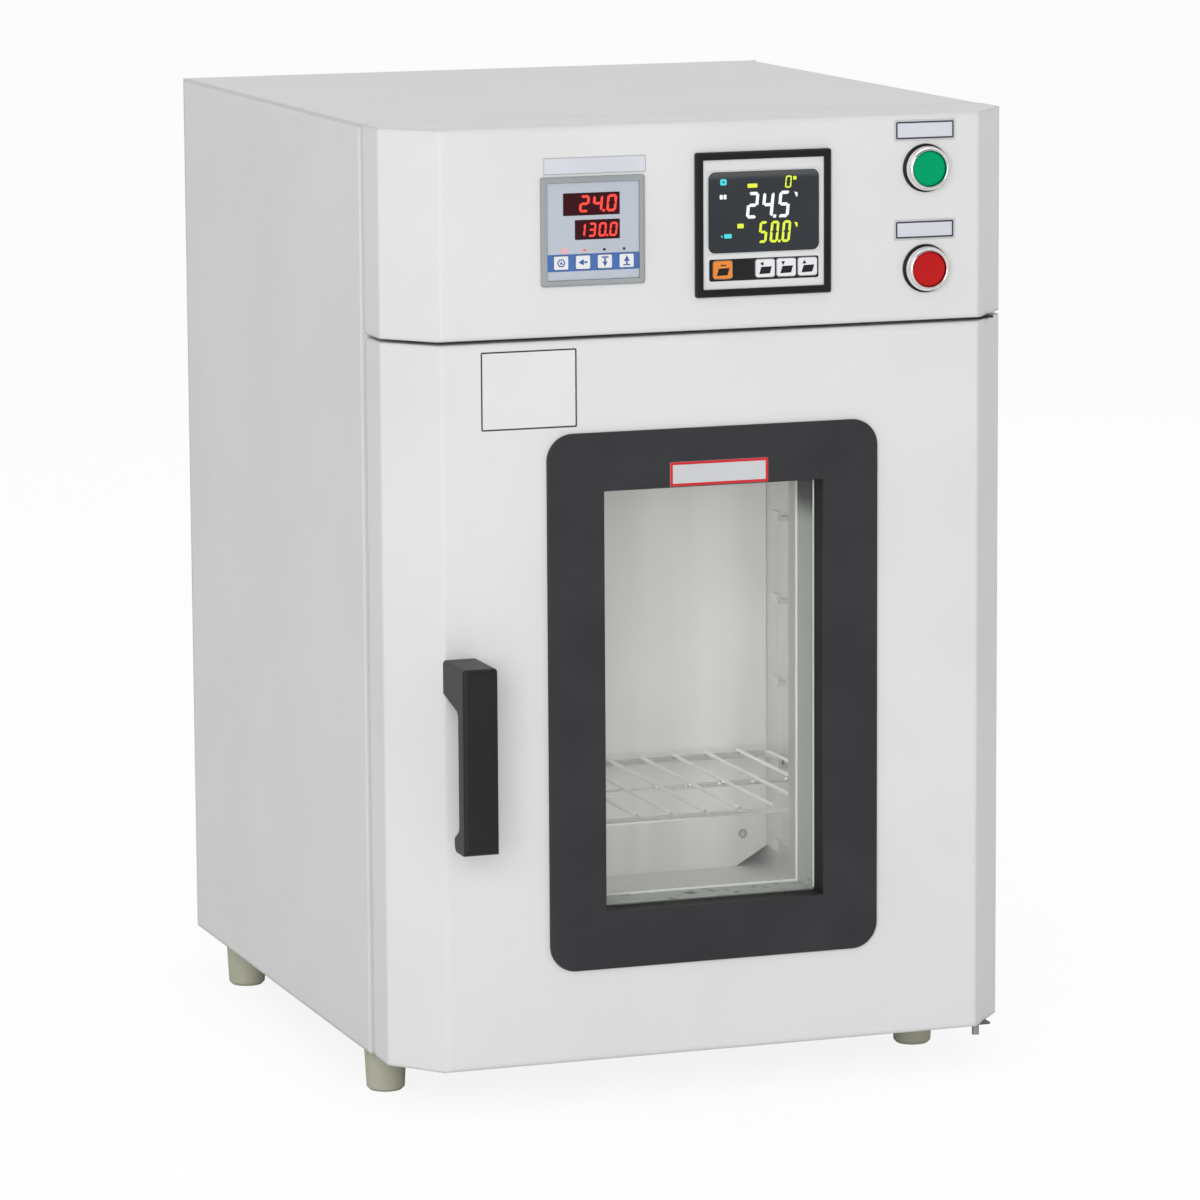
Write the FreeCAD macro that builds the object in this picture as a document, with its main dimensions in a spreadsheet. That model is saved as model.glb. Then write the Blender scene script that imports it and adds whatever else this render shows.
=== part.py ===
import FreeCAD, Part
import math
import os
import Sketcher

# Bench-top forced-air drying oven, millimetres.
# X runs to the right seen from the front, the front looks along -Y, +Z is up.
# The origin is the middle of the whole outline on the surface that the feet stand on.

os.makedirs("parts", exist_ok=True)
doc = FreeCAD.newDocument("drying_oven")
sheet = doc.addObject("Spreadsheet::Sheet", "dim")

# Driving sizes
sizes = {
    # cabinet
    "cabinet_width": 444, "cabinet_depth": 436, "cabinet_height": 628,
    "case_sheet": 1.2, "case_flange": 10, "case_edge": 4,
    "frame_sheet": 1.5, "frame_lap": 30, "base_sheet": 1.5, "tray_sheet": 1.5, "panel_gap": 0.3,
    # head and door fronts
    "front_depth": 71, "front_inset": 1.5, "return_depth": 34, "bevel_width": 30.5,
    "front_sheet": 1.5, "bend_round": 2.5, "corner_round": 6,
    "head_height": 138.5, "head_gap": 2.4, "door_gap": 2, "hinge_relief": 8, "hinge_relief_width": 16,
    # door inside
    "door_pan_depth": 8, "door_pan_sheet": 1.2,
    "window_width": 155.6, "window_height": 284, "window_centre": 274, "window_shift": -0.9,
    "window_border": 39.2,
    "window_corner": 18, "opening_corner": 1, "bezel_proud": 3, "bezel_edge": 1.2,
    "collar_wall": 2, "collar_depth": 15, "glass_lap": 12, "glass_thick": 4, "pane_gap": 27,
    "glass_room": 2, "gasket_width": 10, "gasket_lap": 3, "gasket_rest": 0.3, "gasket_round": 14,
    "gasket_edge": 2.5,
    # chamber
    "chamber_width": 306, "chamber_depth": 290, "chamber_height": 380, "chamber_floor": 88,
    "liner_sheet": 1, "wall_depth": 60, "fan_room": 60, "baffle_sheet": 1.2,
    "baffle_cut_width": 24, "baffle_cut_height": 14, "intake_hole": 4, "intake_pitch": 12,
    "outlet_width": 36, "outlet_height": 6,
    # shelf and its uprights
    "upright_width": 18, "upright_sheet": 1.5, "upright_front": 45, "upright_drop": 20,
    "upright_length": 340, "hook_reach": 11, "hook_sheet": 3, "hook_width": 12, "hook_lip": 4,
    "level_first": 111, "level_pitch": 60, "shelf_front": 15, "shelf_rear_room": 15,
    "shelf_rod": 2.5, "shelf_rail": 2, "shelf_wire": 1.5, "shelf_wire_pitch": 25,
    "shelf_side_room": 3.25, "shelf_bend": 10,
    # fan, heater and motor
    "fan_height": 390, "fan_radius": 56, "fan_width": 28, "fan_disc": 1.5, "fan_clear": 12,
    "hub_radius": 11, "hub_length": 20, "shaft_radius": 4, "shaft_fit": 0.05, "blade_sheet": 1.2,
    "blade_root": 34, "blade_lean": 24, "blade_curve": 26,
    "heater_ring": 68, "heater_tube": 4, "heater_sleeve": 5, "heater_gap_angle": 15, "heater_leg": 9,
    "motor_radius": 40, "motor_length": 58, "motor_boss_radius": 18, "motor_boss": 6,
    "bulkhead_sheet": 1.5, "shaft_room": 3,
    # vent and cable gland
    "vent_side": 95, "vent_height": 436, "vent_radius": 14, "vent_wall": 1.2, "vent_flange": 22,
    "vent_flange_sheet": 2, "vent_hole": 4, "vent_hole_ring": 8.5, "vent_pivot": 2,
    "damper_radius": 20, "damper_sheet": 1.5, "damper_gap": 0.3, "knob_radius": 4, "damper_reach": 12,
    "gland_side": 150, "gland_height": 560, "gland_hex": 11, "gland_reach": 16, "gland_thread": 8,
    "gland_bore": 4.5, "gland_inside": 12,
    # temperature probes
    "probe_radius": 3, "probe_side": 100, "probe_spacing": 24, "probe_room": 30, "probe_dip": 60,
    "probe_top": 14,
    # hinges
    "pin_side": 198, "pin_place": 52, "pin_radius": 2.5, "pin_fit": 0.05, "pin_tail": 8,
    "pin_reach": 17, "hinge_plate": 1.5, "hinge_width": 16, "hinge_nose": 7, "hinge_leaf": 26,
    "hinge_gap": 0.4, "bush_radius": 4,
    # handle and latch
    "handle_side": 179, "handle_top": 309.4, "handle_length": 124, "handle_width": 24,
    "handle_reach": 44, "handle_bar": 12, "handle_block": 22, "handle_hook": 22, "handle_foot": 12,
    "handle_round": 2.5, "handle_slope": 8, "handle_sweep": 5, "handle_gap": 0.5,
    "spindle_radius": 5, "spindle_fit": 0.05, "spindle_depth": 30, "spindle_drop": 11.4,
    "spindle_bush": 7, "bush_length": 18,
    "latch_length": 34, "latch_width": 8, "latch_thick": 6, "latch_clear": 1,
    "striker_sheet": 3, "striker_shift": 4, "striker_width": 31, "striker_height": 70, "slot_room": 4,
    # feet
    "foot_height": 30, "foot_top": 14.5, "foot_bottom": 13, "foot_round": 2, "foot_front": 22,
    "foot_back": 364, "foot_left": 205, "foot_right": 181, "stud_radius": 3, "stud_length": 26,
    # main controller, 96 square
    "main_size": 96, "main_left": -13.4, "main_top": 637.5, "main_proud": 3.6, "main_rim": 5,
    "main_round": 1.6, "main_edge": 1.1,
    "main_recess": 1.5, "main_face": 2.5, "main_case": 91, "main_case_depth": 60, "main_cutout": 92,
    "lens_width": 78.6, "lens_height": 54, "lens_drop": 13, "lens_thick": 0.6,
    "main_key_width": 13.3, "main_key_height": 11.8, "main_key_drop": 72, "main_key_proud": 1.1,
    "key_room": 0.35, "key_depth": 2.4,
    # limit controller, 72 square
    "limit_size": 72, "limit_left": -120.9, "limit_top": 625, "limit_proud": 3, "limit_rim": 3.9,
    "limit_round": 1.6, "limit_edge": 1.2,
    "limit_recess": 1, "limit_face": 2, "limit_case": 67, "limit_case_depth": 55,
    "limit_cutout": 68, "limit_key": 9.8, "limit_key_height": 8.8, "limit_key_drop": 52,
    "limit_key_first": 8.6,
    "limit_key_pitch": 15.2, "limit_key_proud": 0.6, "limit_key_depth": 1.6,
    # push buttons
    "button_side": 151, "start_height": 621.9, "stop_height": 554.6, "button_cap": 11.7, "cap_edge": 1.2,
    "button_travel": 5, "cap_sink": 0.8, "button_head": 2.4, "button_stem": 9.2, "button_room": 0.3,
    "bezel_radius": 15, "bezel_shoulder": 14.3, "bezel_nose": 12.7, "bezel_height": 7.5,
    "bezel_step": 3.2, "bezel_slope": 2.6, "flange_radius": 16.2,
    "flange_thick": 1.5, "barrel_radius": 11, "barrel_length": 26, "block_size": 28, "block_depth": 24,
    # electrics behind the head
    "contactor_side": 170, "relay_side": 60, "strip_side": 20, "switchgear_place": 150,
    "strip_place": 230,
    "contactor_width": 45, "contactor_depth": 75, "contactor_height": 74, "relay_width": 45,
    "relay_depth": 60, "relay_height": 23, "sink_height": 32, "fin_sheet": 2,
    "strip_width": 96, "strip_depth": 22, "strip_height": 24, "tray_lip": 10,
    # rear panel
    "louvre_width": 60, "louvre_height": 4, "louvre_pitch": 12, "louvre_low": 330,
    "louvre_side": 20, "screw_radius": 1.9, "screw_head": 3.6, "screw_head_height": 2.2,
    "screw_edge": 5, "screw_end": 40, "screw_length": 8,
}
for row, (alias, size) in enumerate(sizes.items(), start=1):
    sheet.set(f"A{row}", alias)
    sheet.set(f"B{row}", str(size))
    sheet.setAlias(f"B{row}", alias)
doc.recompute()

# Counts
blade_count = 14
hook_levels = 5
shelf_level = 1
shelf_wires = 11
louvre_rows = 8
fin_count = 7
key_places = (12.2, 42.2, 57.2, 72.3)

# Places worked out from the sizes; y grows towards the back
half_width = "(dim.cabinet_width / 2)"
rear_reach = "max(dim.gland_reach; dim.damper_reach)"
front_reach = "(dim.front_depth + dim.handle_reach)"
front = f"((-dim.cabinet_depth - {rear_reach} + {front_reach}) / 2)"
face = f"({front} - dim.front_depth)"
back = f"({front} + dim.cabinet_depth)"
base = "dim.foot_height"
top = "(dim.foot_height + dim.cabinet_height)"
frame_face = f"({front} + dim.case_sheet)"
frame_back = f"({frame_face} + dim.frame_sheet)"
inner_half = f"({half_width} - dim.case_sheet)"
base_top = f"({base} + dim.base_sheet)"
head_low = f"({top} - dim.head_height)"
door_top = f"({head_low} - dim.head_gap)"
tray_low = f"({door_top} - dim.tray_sheet)"
liner_back = f"({frame_back} + dim.chamber_depth)"
wall_back = f"({liner_back} + dim.liner_sheet + dim.wall_depth)"
bulkhead_back = f"({wall_back} + dim.bulkhead_sheet)"
chamber_half = "(dim.chamber_width / 2)"
chamber_top = "(dim.chamber_floor + dim.chamber_height)"
baffle_face = f"({liner_back} - dim.fan_room)"
window_middle = ("dim.window_shift", "dim.window_centre")
pan_face = f"({front} - dim.door_pan_depth)"
pan_front = f"({pan_face} - dim.door_pan_sheet)"
outer_glass_face = f"({face} + dim.collar_depth)"
outer_glass_back = f"({outer_glass_face} + dim.glass_thick)"
inner_glass_face = f"({outer_glass_back} + dim.pane_gap)"
inner_glass_back = f"({inner_glass_face} + dim.glass_thick)"
pin_y = f"({front} - dim.pin_place)"
spindle_z = "(dim.handle_top - dim.spindle_drop)"
latch_face = f"({frame_back} + dim.latch_clear)"
latch_back = f"({latch_face} + dim.latch_thick)"
fan_face = f"({baffle_face} + dim.baffle_sheet + dim.fan_clear)"
fan_back = f"({fan_face} + dim.fan_width)"
front_half = f"({half_width} - dim.front_inset)"

parts = {}
cuts = []


def value(text):
    # number behind an expression on the sheet
    result = sheet.evalExpression(str(text))
    return float(getattr(result, "Value", result))


def keep(node, item):
    # name a finished sub-part and put it on the list that is written out
    item.Label = node
    parts[node] = item
    return item


def vector(x, y, z):
    return FreeCAD.Vector(x, y, z)


# Solid primitives with bound sizes

def place(item, spot, direction=(0, 0, 1)):
    turn = FreeCAD.Rotation(vector(0, 0, 1), vector(*direction))
    item.Placement = FreeCAD.Placement(vector(0, 0, 0), turn)
    for axis, text in zip("xyz", spot):
        item.setExpression(f"Placement.Base.{axis}", str(text))
    return item


def box(name, low, lengths):
    item = doc.addObject("Part::Box", name)
    for key, text in zip(("Length", "Width", "Height"), lengths):
        item.setExpression(key, str(text))
    return place(item, low)


def rod(name, spot, radius, length, direction=(0, 1, 0)):
    item = doc.addObject("Part::Cylinder", name)
    item.setExpression("Radius", str(radius))
    item.setExpression("Height", str(length))
    return place(item, spot, direction)


def prism(name, spot, sides, radius, length, direction=(0, 1, 0)):
    # bar with flat sides, its corners on the given radius
    item = doc.addObject("Part::Prism", name)
    item.Polygon = sides
    item.setExpression("Circumradius", str(radius))
    item.setExpression("Height", str(length))
    return place(item, spot, direction)


def cone(name, spot, near, far, length, direction=(0, 1, 0)):
    item = doc.addObject("Part::Cone", name)
    item.setExpression("Radius1", str(near))
    item.setExpression("Radius2", str(far))
    item.setExpression("Height", str(length))
    return place(item, spot, direction)


def fuse(name, shapes):
    item = doc.addObject("Part::MultiFuse", name)
    item.Shapes = shapes
    item.Refine = True
    return item


def group(name, shapes):
    item = doc.addObject("Part::Compound", name)
    item.Links = shapes
    return item


def cut(name, solid, tools):
    item = doc.addObject("Part::Cut", name)
    item.Base = solid
    item.Tool = tools[0] if len(tools) == 1 else fuse(name + "_tools", tools)
    cuts.append((item, solid))
    return item


# Sketch and feature helpers

def body(node):
    return keep(node, doc.addObject("PartDesign::Body", node))


def sketch(owner, name, role, offset="0"):
    drawing = owner.newObject("Sketcher::SketchObject", name)
    origin_plane = next(item for item in owner.Origin.OriginFeatures if item.Role == role)
    drawing.AttachmentSupport = [(origin_plane, "")]
    drawing.MapMode = "FlatFace"
    drawing.setExpression("AttachmentOffset.Base.z", str(offset))
    return drawing


def driven(drawing, constraint, text):
    index = drawing.addConstraint(constraint)
    name = f"size_{index}"
    drawing.renameConstraint(index, name)
    drawing.setExpression(f"Constraints.{name}", str(text))


def hold(drawing, edge, point, x, y):
    driven(drawing, Sketcher.Constraint("DistanceX", -1, 1, edge, point, value(x)), x)
    driven(drawing, Sketcher.Constraint("DistanceY", -1, 1, edge, point, value(y)), y)


def outline(drawing, points):
    # closed polygon, each corner held from the sketch origin
    first = drawing.GeometryCount
    count = len(points)
    spots = [vector(value(x), value(y), 0) for x, y in points]
    for index in range(count):
        drawing.addGeometry(Part.LineSegment(spots[index], spots[(index + 1) % count]), False)
    for index in range(count):
        following = first + (index + 1) % count
        drawing.addConstraint(Sketcher.Constraint("Coincident", first + index, 2, following, 1))
    for index, (x, y) in enumerate(points):
        hold(drawing, first + index, 1, x, y)


def rectangle(drawing, x, y, width, height):
    left, right = f"({x} - ({width}) / 2)", f"({x} + ({width}) / 2)"
    low, high = f"({y} - ({height}) / 2)", f"({y} + ({height}) / 2)"
    outline(drawing, [(left, low), (right, low), (right, high), (left, high)])


def many_sided(drawing, x, y, radius, sides, start=0):
    # even polygon about x, y with its corners on the given radius
    angles = [start + 360 / sides * index for index in range(sides)]
    outline(drawing, [(f"({x} + ({radius}) * cos({angle} deg))", f"({y} + ({radius}) * sin({angle} deg))")
                      for angle in angles])


def circle(drawing, x, y, radius):
    index = drawing.GeometryCount
    centre = vector(value(x), value(y), 0)
    drawing.addGeometry(Part.Circle(centre, vector(0, 0, 1), value(radius)), False)
    driven(drawing, Sketcher.Constraint("Radius", index, value(radius)), radius)
    hold(drawing, index, 3, x, y)


def rounded(drawing, x, y, width, height, radius):
    # rectangle about x, y with equal corner arcs
    left, right = f"({x} - ({width}) / 2)", f"({x} + ({width}) / 2)"
    low, high = f"({y} - ({height}) / 2)", f"({y} + ({height}) / 2)"
    x0, x1, y0, y1, r = (value(text) for text in (left, right, low, high, radius))
    first = drawing.GeometryCount
    corners = ((x1 - r, y0 + r, -90), (x1 - r, y1 - r, 0), (x0 + r, y1 - r, 90), (x0 + r, y0 + r, 180))
    sides = (((x0 + r, y0), (x1 - r, y0)), ((x1, y0 + r), (x1, y1 - r)),
             ((x1 - r, y1), (x0 + r, y1)), ((x0, y1 - r), (x0, y0 + r)))
    for (start, end), (cx, cy, angle) in zip(sides, corners):
        drawing.addGeometry(Part.LineSegment(vector(*start, 0), vector(*end, 0)), False)
        ring = Part.Circle(vector(cx, cy, 0), vector(0, 0, 1), r)
        drawing.addGeometry(Part.ArcOfCircle(ring, math.radians(angle), math.radians(angle + 90)), False)
    for index in range(8):
        drawing.addConstraint(
            Sketcher.Constraint("Tangent", first + index, 2, first + (index + 1) % 8, 1))
    for index, direction in enumerate(("Horizontal", "Vertical", "Horizontal", "Vertical")):
        drawing.addConstraint(Sketcher.Constraint(direction, first + 2 * index))
    for index in (3, 5, 7):
        drawing.addConstraint(Sketcher.Constraint("Equal", first + 1, first + index))
    driven(drawing, Sketcher.Constraint("Radius", first + 1, r), radius)
    driven(drawing, Sketcher.Constraint("DistanceY", -1, 1, first, 1, y0), low)
    driven(drawing, Sketcher.Constraint("DistanceX", -1, 1, first + 2, 1, x1), right)
    driven(drawing, Sketcher.Constraint("DistanceY", -1, 1, first + 4, 1, y1), high)
    driven(drawing, Sketcher.Constraint("DistanceX", -1, 1, first + 6, 1, x0), left)


def feature(owner, kind, name, drawing, length, flip=False):
    item = owner.newObject(f"PartDesign::{kind}", name)
    item.Profile = drawing
    item.setExpression("Length", str(length))
    item.Reversed = flip
    doc.recompute()
    if kind == "Pocket":
        cuts.append((item, item.BaseFeature))
    return item


def eased_edges(owner, kind, name, size, chosen):
    # round or bevel the edges of the last feature that the test picks
    solid = owner.Tip
    names = [f"Edge{index}" for index, edge in enumerate(solid.Shape.Edges, start=1) if chosen(edge)]
    item = owner.newObject(f"PartDesign::{kind}", name)
    item.Base = (solid, names)
    item.setExpression("Radius" if kind == "Fillet" else "Size", str(size))
    doc.recompute()
    return item


def rounded_edges(owner, name, radius, chosen):
    return eased_edges(owner, "Fillet", name, radius, chosen)


def bevelled_edges(owner, name, size, chosen):
    return eased_edges(owner, "Chamfer", name, size, chosen)


def runs_along(edge, axis):
    # straight edge along one axis
    if len(edge.Vertexes) != 2:
        return False
    step = edge.Vertexes[1].Point - edge.Vertexes[0].Point
    others = [abs(step[index]) for index in range(3) if index != "xyz".index(axis)]
    return max(others) < 1e-4 and abs(step["xyz".index(axis)]) > 1e-3


def lies_at(edge, axis, text):
    return all(abs(point.Point["xyz".index(axis)] - value(text)) < 1e-3 for point in edge.Vertexes)


# Cabinet shell

def outer_casing():
    # wrap-round cover with in-turned flanges at front and back, open below
    node = body("outer_casing")
    plan = sketch(node, "casing_outline", "XZ_Plane", f"-{front}")
    outline(plan, [(f"-{half_width}", base), (half_width, base), (half_width, top),
                   (f"-{half_width}", top)])
    feature(node, "Pad", "casing_block", plan, "dim.cabinet_depth - dim.case_sheet", True)
    rounded_edges(node, "casing_bends", "dim.case_edge", lambda edge: (
        runs_along(edge, "z") and lies_at(edge, "y", front)) or (
        runs_along(edge, "y") and lies_at(edge, "z", top)))
    room = sketch(node, "casing_room", "XZ_Plane", f"-({frame_face})")
    outline(room, [(f"-{inner_half}", f"{base} - 1"), (inner_half, f"{base} - 1"),
                   (inner_half, f"{top} - dim.case_sheet"), (f"-{inner_half}", f"{top} - dim.case_sheet")])
    feature(node, "Pocket", "casing_hollow", room, "dim.cabinet_depth - 3 * dim.case_sheet")
    mouth_half = f"({half_width} - dim.case_flange)"
    mouth_top = f"({top} - dim.case_flange)"
    mouth = sketch(node, "casing_mouth", "XZ_Plane", f"-{front}")
    outline(mouth, [(f"-{mouth_half}", f"{base} - 1"), (mouth_half, f"{base} - 1"),
                    (mouth_half, mouth_top), (f"-{mouth_half}", mouth_top)])
    feature(node, "Pocket", "casing_mouth_cut", mouth, "dim.cabinet_depth")
    holes = sketch(node, "casing_screw_holes", "XZ_Plane", f"-({back} - 3 * dim.case_sheet)")
    for x, z in rear_screw_spots():
        circle(holes, x, z, "dim.screw_radius + dim.shaft_fit")
    feature(node, "Pocket", "casing_screw_cut", holes, "3 * dim.case_sheet")


def rear_screw_spots():
    edge_x = f"({half_width} - dim.screw_edge)"
    rows = (f"({base} + dim.screw_end)", f"(({base} + {top}) / 2)", f"({top} - dim.screw_end)")
    return [(f"{side}{edge_x}", height) for side in ("-", "") for height in rows]


def rear_panel():
    # flat cover with two banks of louvres, holes for vent, gland and screws
    node = body("rear_panel")
    plate = sketch(node, "rear_outline", "XZ_Plane", f"-({back} - dim.case_sheet)")
    outline(plate, [(f"-{half_width}", base), (half_width, base), (half_width, top),
                    (f"-{half_width}", top)])
    circle(plate, "dim.vent_side", "dim.vent_height", "dim.vent_radius + dim.panel_gap")
    circle(plate, "-dim.gland_side", "dim.gland_height", "dim.gland_thread + dim.shaft_fit")
    for x, z in rear_screw_spots():
        circle(plate, x, z, "dim.screw_radius + dim.shaft_fit")
    feature(node, "Pad", "rear_sheet", plate, "dim.case_sheet", True)
    slot = sketch(node, "louvre_slot", "XZ_Plane", f"-({back} - dim.case_sheet)")
    for side in (-1, 1):
        middle = f"({side} * (dim.louvre_side + dim.louvre_width / 2))"
        rectangle(slot, middle, "dim.louvre_low", "dim.louvre_width", "dim.louvre_height")
    pocket = feature(node, "Pocket", "louvre_cut", slot, "2 * dim.case_sheet")
    rows = node.newObject("PartDesign::LinearPattern", "louvre_rows")
    rows.Originals = [pocket]
    rows.Direction = (slot, ["V_Axis"])
    rows.setExpression("Length", f"dim.louvre_pitch * {louvre_rows - 1}")
    rows.Occurrences = louvre_rows
    node.Tip = rows


def base_plate():
    blank = box("base_blank", (f"-{inner_half} + dim.panel_gap", frame_back, base),
                (f"2 * {inner_half} - 2 * dim.panel_gap",
                 "dim.cabinet_depth - 3 * dim.case_sheet - dim.frame_sheet", "dim.base_sheet"))
    holes = [rod("base_hole", (x, y, f"{base} - 1"), "dim.stud_radius + dim.shaft_fit",
                 "dim.base_sheet + 2", (0, 0, 1)) for x, y in foot_spots()]
    keep("base_plate", cut("base_cut", blank, holes))


def front_frame():
    # steel face round the chamber mouth; it carries hinges, striker and seal
    frame_top = f"({head_low} + dim.frame_lap)"
    blank = box("frame_blank", (f"-{inner_half} + dim.panel_gap", frame_face, base),
                (f"2 * {inner_half} - 2 * dim.panel_gap", "dim.frame_sheet", f"{frame_top} - {base}"))
    mouth = box("frame_mouth", (f"-{chamber_half}", f"{frame_face} - 1", "dim.chamber_floor"),
                ("dim.chamber_width", "dim.frame_sheet + 2", "dim.chamber_height"))
    keep("front_frame", cut("frame_cut", blank, [mouth, latch_slot("frame_slot", frame_face,
                                                                   "dim.frame_sheet")]))


def latch_slot(name, start, depth):
    # upright slot that the latch bar passes when it stands upright
    width = "(dim.latch_width + 2 * dim.slot_room)"
    height = "(dim.latch_length + 2 * dim.slot_room)"
    return box(name, (f"-dim.handle_side - {width} / 2", f"{start} - 1", f"{spindle_z} - {height} / 2"),
               (width, f"{depth} + 2", height))


def foot_spots():
    front_row, back_row = f"({front} + dim.foot_front)", f"({front} + dim.foot_back)"
    return [("-dim.foot_left", front_row), ("dim.foot_right", front_row),
            ("-dim.foot_left", back_row), ("dim.foot_right", back_row)]


def rubber_feet():
    # tapered feet, rounded at the tread, bored from above for a stud
    feet = []
    bore_depth = "(dim.stud_length / 2 + 1)"
    for x, y in foot_spots():
        taper = cone("foot_taper", (x, y, "dim.foot_round"), "dim.foot_bottom", "dim.foot_top",
                     "dim.foot_height - dim.foot_round", (0, 0, 1))
        tread = cone("foot_tread", (x, y, 0), "dim.foot_bottom - dim.foot_round", "dim.foot_bottom",
                     "dim.foot_round", (0, 0, 1))
        bore = prism("foot_bore", (x, y, f"dim.foot_height - {bore_depth}"), 8,
                     "dim.stud_radius + dim.shaft_fit", f"{bore_depth} + 1", (0, 0, 1))
        feet.append(cut("foot", fuse("foot_solid", [taper, tread]), [bore]))
    keep("rubber_feet", group("feet", feet))


def casing_screws():
    # hexagon screws of the rear panel, and the studs and nuts that hold the feet
    items = []
    for x, z in rear_screw_spots():
        head = prism("screw_head", (x, back, z), 6, "dim.screw_head", "dim.screw_head_height")
        shank = prism("screw_shank", (x, f"{back} - dim.screw_length", z), 8, "dim.screw_radius",
                      "dim.screw_length + 1")
        items.append(fuse("rear_screw", [head, shank]))
    for x, y in foot_spots():
        stud = prism("stud", (x, y, "dim.foot_height - dim.stud_length / 2"), 8, "dim.stud_radius",
                     "dim.stud_length", (0, 0, 1))
        nut = prism("stud_nut", (x, y, base_top), 6, "2 * dim.stud_radius", "dim.stud_radius", (0, 0, 1))
        items.append(fuse("foot_stud", [stud, nut]))
    keep("casing_screws", group("screws", items))


# Chamber and its walls

def chamber_liner():
    outer = box("liner_outer",
                (f"-{chamber_half} - dim.liner_sheet", frame_back, "dim.chamber_floor - dim.liner_sheet"),
                ("dim.chamber_width + 2 * dim.liner_sheet", "dim.chamber_depth + dim.liner_sheet",
                 "dim.chamber_height + 2 * dim.liner_sheet"))
    inner = box("liner_inner", (f"-{chamber_half}", f"{frame_back} - 1", "dim.chamber_floor"),
                ("dim.chamber_width", "dim.chamber_depth + 1", "dim.chamber_height"))
    holes = wall_holes("liner", liner_back, "dim.liner_sheet") + probe_holes("liner", chamber_top,
                                                                             "dim.liner_sheet")
    keep("chamber_liner", cut("liner_cut", outer, [inner] + holes))


def heater_legs():
    # the heater's two ends leave the ring low down on either side
    angle = "dim.heater_gap_angle * 1 deg"
    return [(f"({side} * dim.heater_ring * sin({angle}))",
             f"(dim.fan_height - dim.heater_ring * cos({angle}))") for side in (-1, 1)]


def wall_holes(name, start, depth):
    # shaft, vent and heater holes through a wall behind the chamber
    spots = [(0, "dim.fan_height", "dim.shaft_radius + dim.shaft_room"),
             ("dim.vent_side", "dim.vent_height", "dim.vent_radius + dim.panel_gap")]
    spots += [(x, z, "dim.heater_sleeve + dim.panel_gap") for x, z in heater_legs()]
    return [rod(f"{name}_wall_hole", (x, f"{start} - 1", z), radius, f"{depth} + 2")
            for x, z, radius in spots]


def probe_spots():
    return [(f"dim.probe_side + {index} * dim.probe_spacing", f"{baffle_face} - dim.probe_room")
            for index in (0, 1)]


def probe_holes(name, start, depth):
    return [rod(f"{name}_probe_hole", (x, y, f"{start} - 1"), "dim.probe_radius + dim.panel_gap",
                f"{depth} + 2", (0, 0, 1)) for x, y in probe_spots()]


def insulation():
    # mineral wool round five sides of the liner, with a pocket for the latch bar
    outer = box("wool_outer", (f"-{inner_half} + dim.panel_gap", frame_back, base_top),
                (f"2 * {inner_half} - 2 * dim.panel_gap", f"{wall_back} - {frame_back}",
                 f"{tray_low} - {base_top}"))
    room = box("wool_room",
               (f"-{chamber_half} - dim.liner_sheet", f"{frame_back} - 1",
                "dim.chamber_floor - dim.liner_sheet"),
               ("dim.chamber_width + 2 * dim.liner_sheet", "dim.chamber_depth + dim.liner_sheet + 1",
                "dim.chamber_height + 2 * dim.liner_sheet"))
    pocket_size = "(dim.latch_length + 2 * dim.slot_room)"
    pocket = box("wool_latch_pocket",
                 (f"-dim.handle_side - {pocket_size} / 2", f"{frame_back} - 1",
                  f"{spindle_z} - {pocket_size} / 2"),
                 (pocket_size, "1 + dim.latch_clear + dim.latch_thick + dim.slot_room", pocket_size))
    nuts = [prism("wool_nut_room", (x, y, f"{base_top} - 1"), 8, "2 * dim.stud_radius + 1",
                  "dim.stud_length", (0, 0, 1)) for x, y in foot_spots()]
    holes = wall_holes("wool", f"({liner_back} + dim.liner_sheet)", "dim.wall_depth")
    holes += probe_holes("wool", f"({chamber_top} + dim.liner_sheet)",
                         f"{tray_low} - {chamber_top} - dim.liner_sheet")
    keep("insulation", cut("wool_cut", outer, [room, pocket] + nuts + holes))


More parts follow.
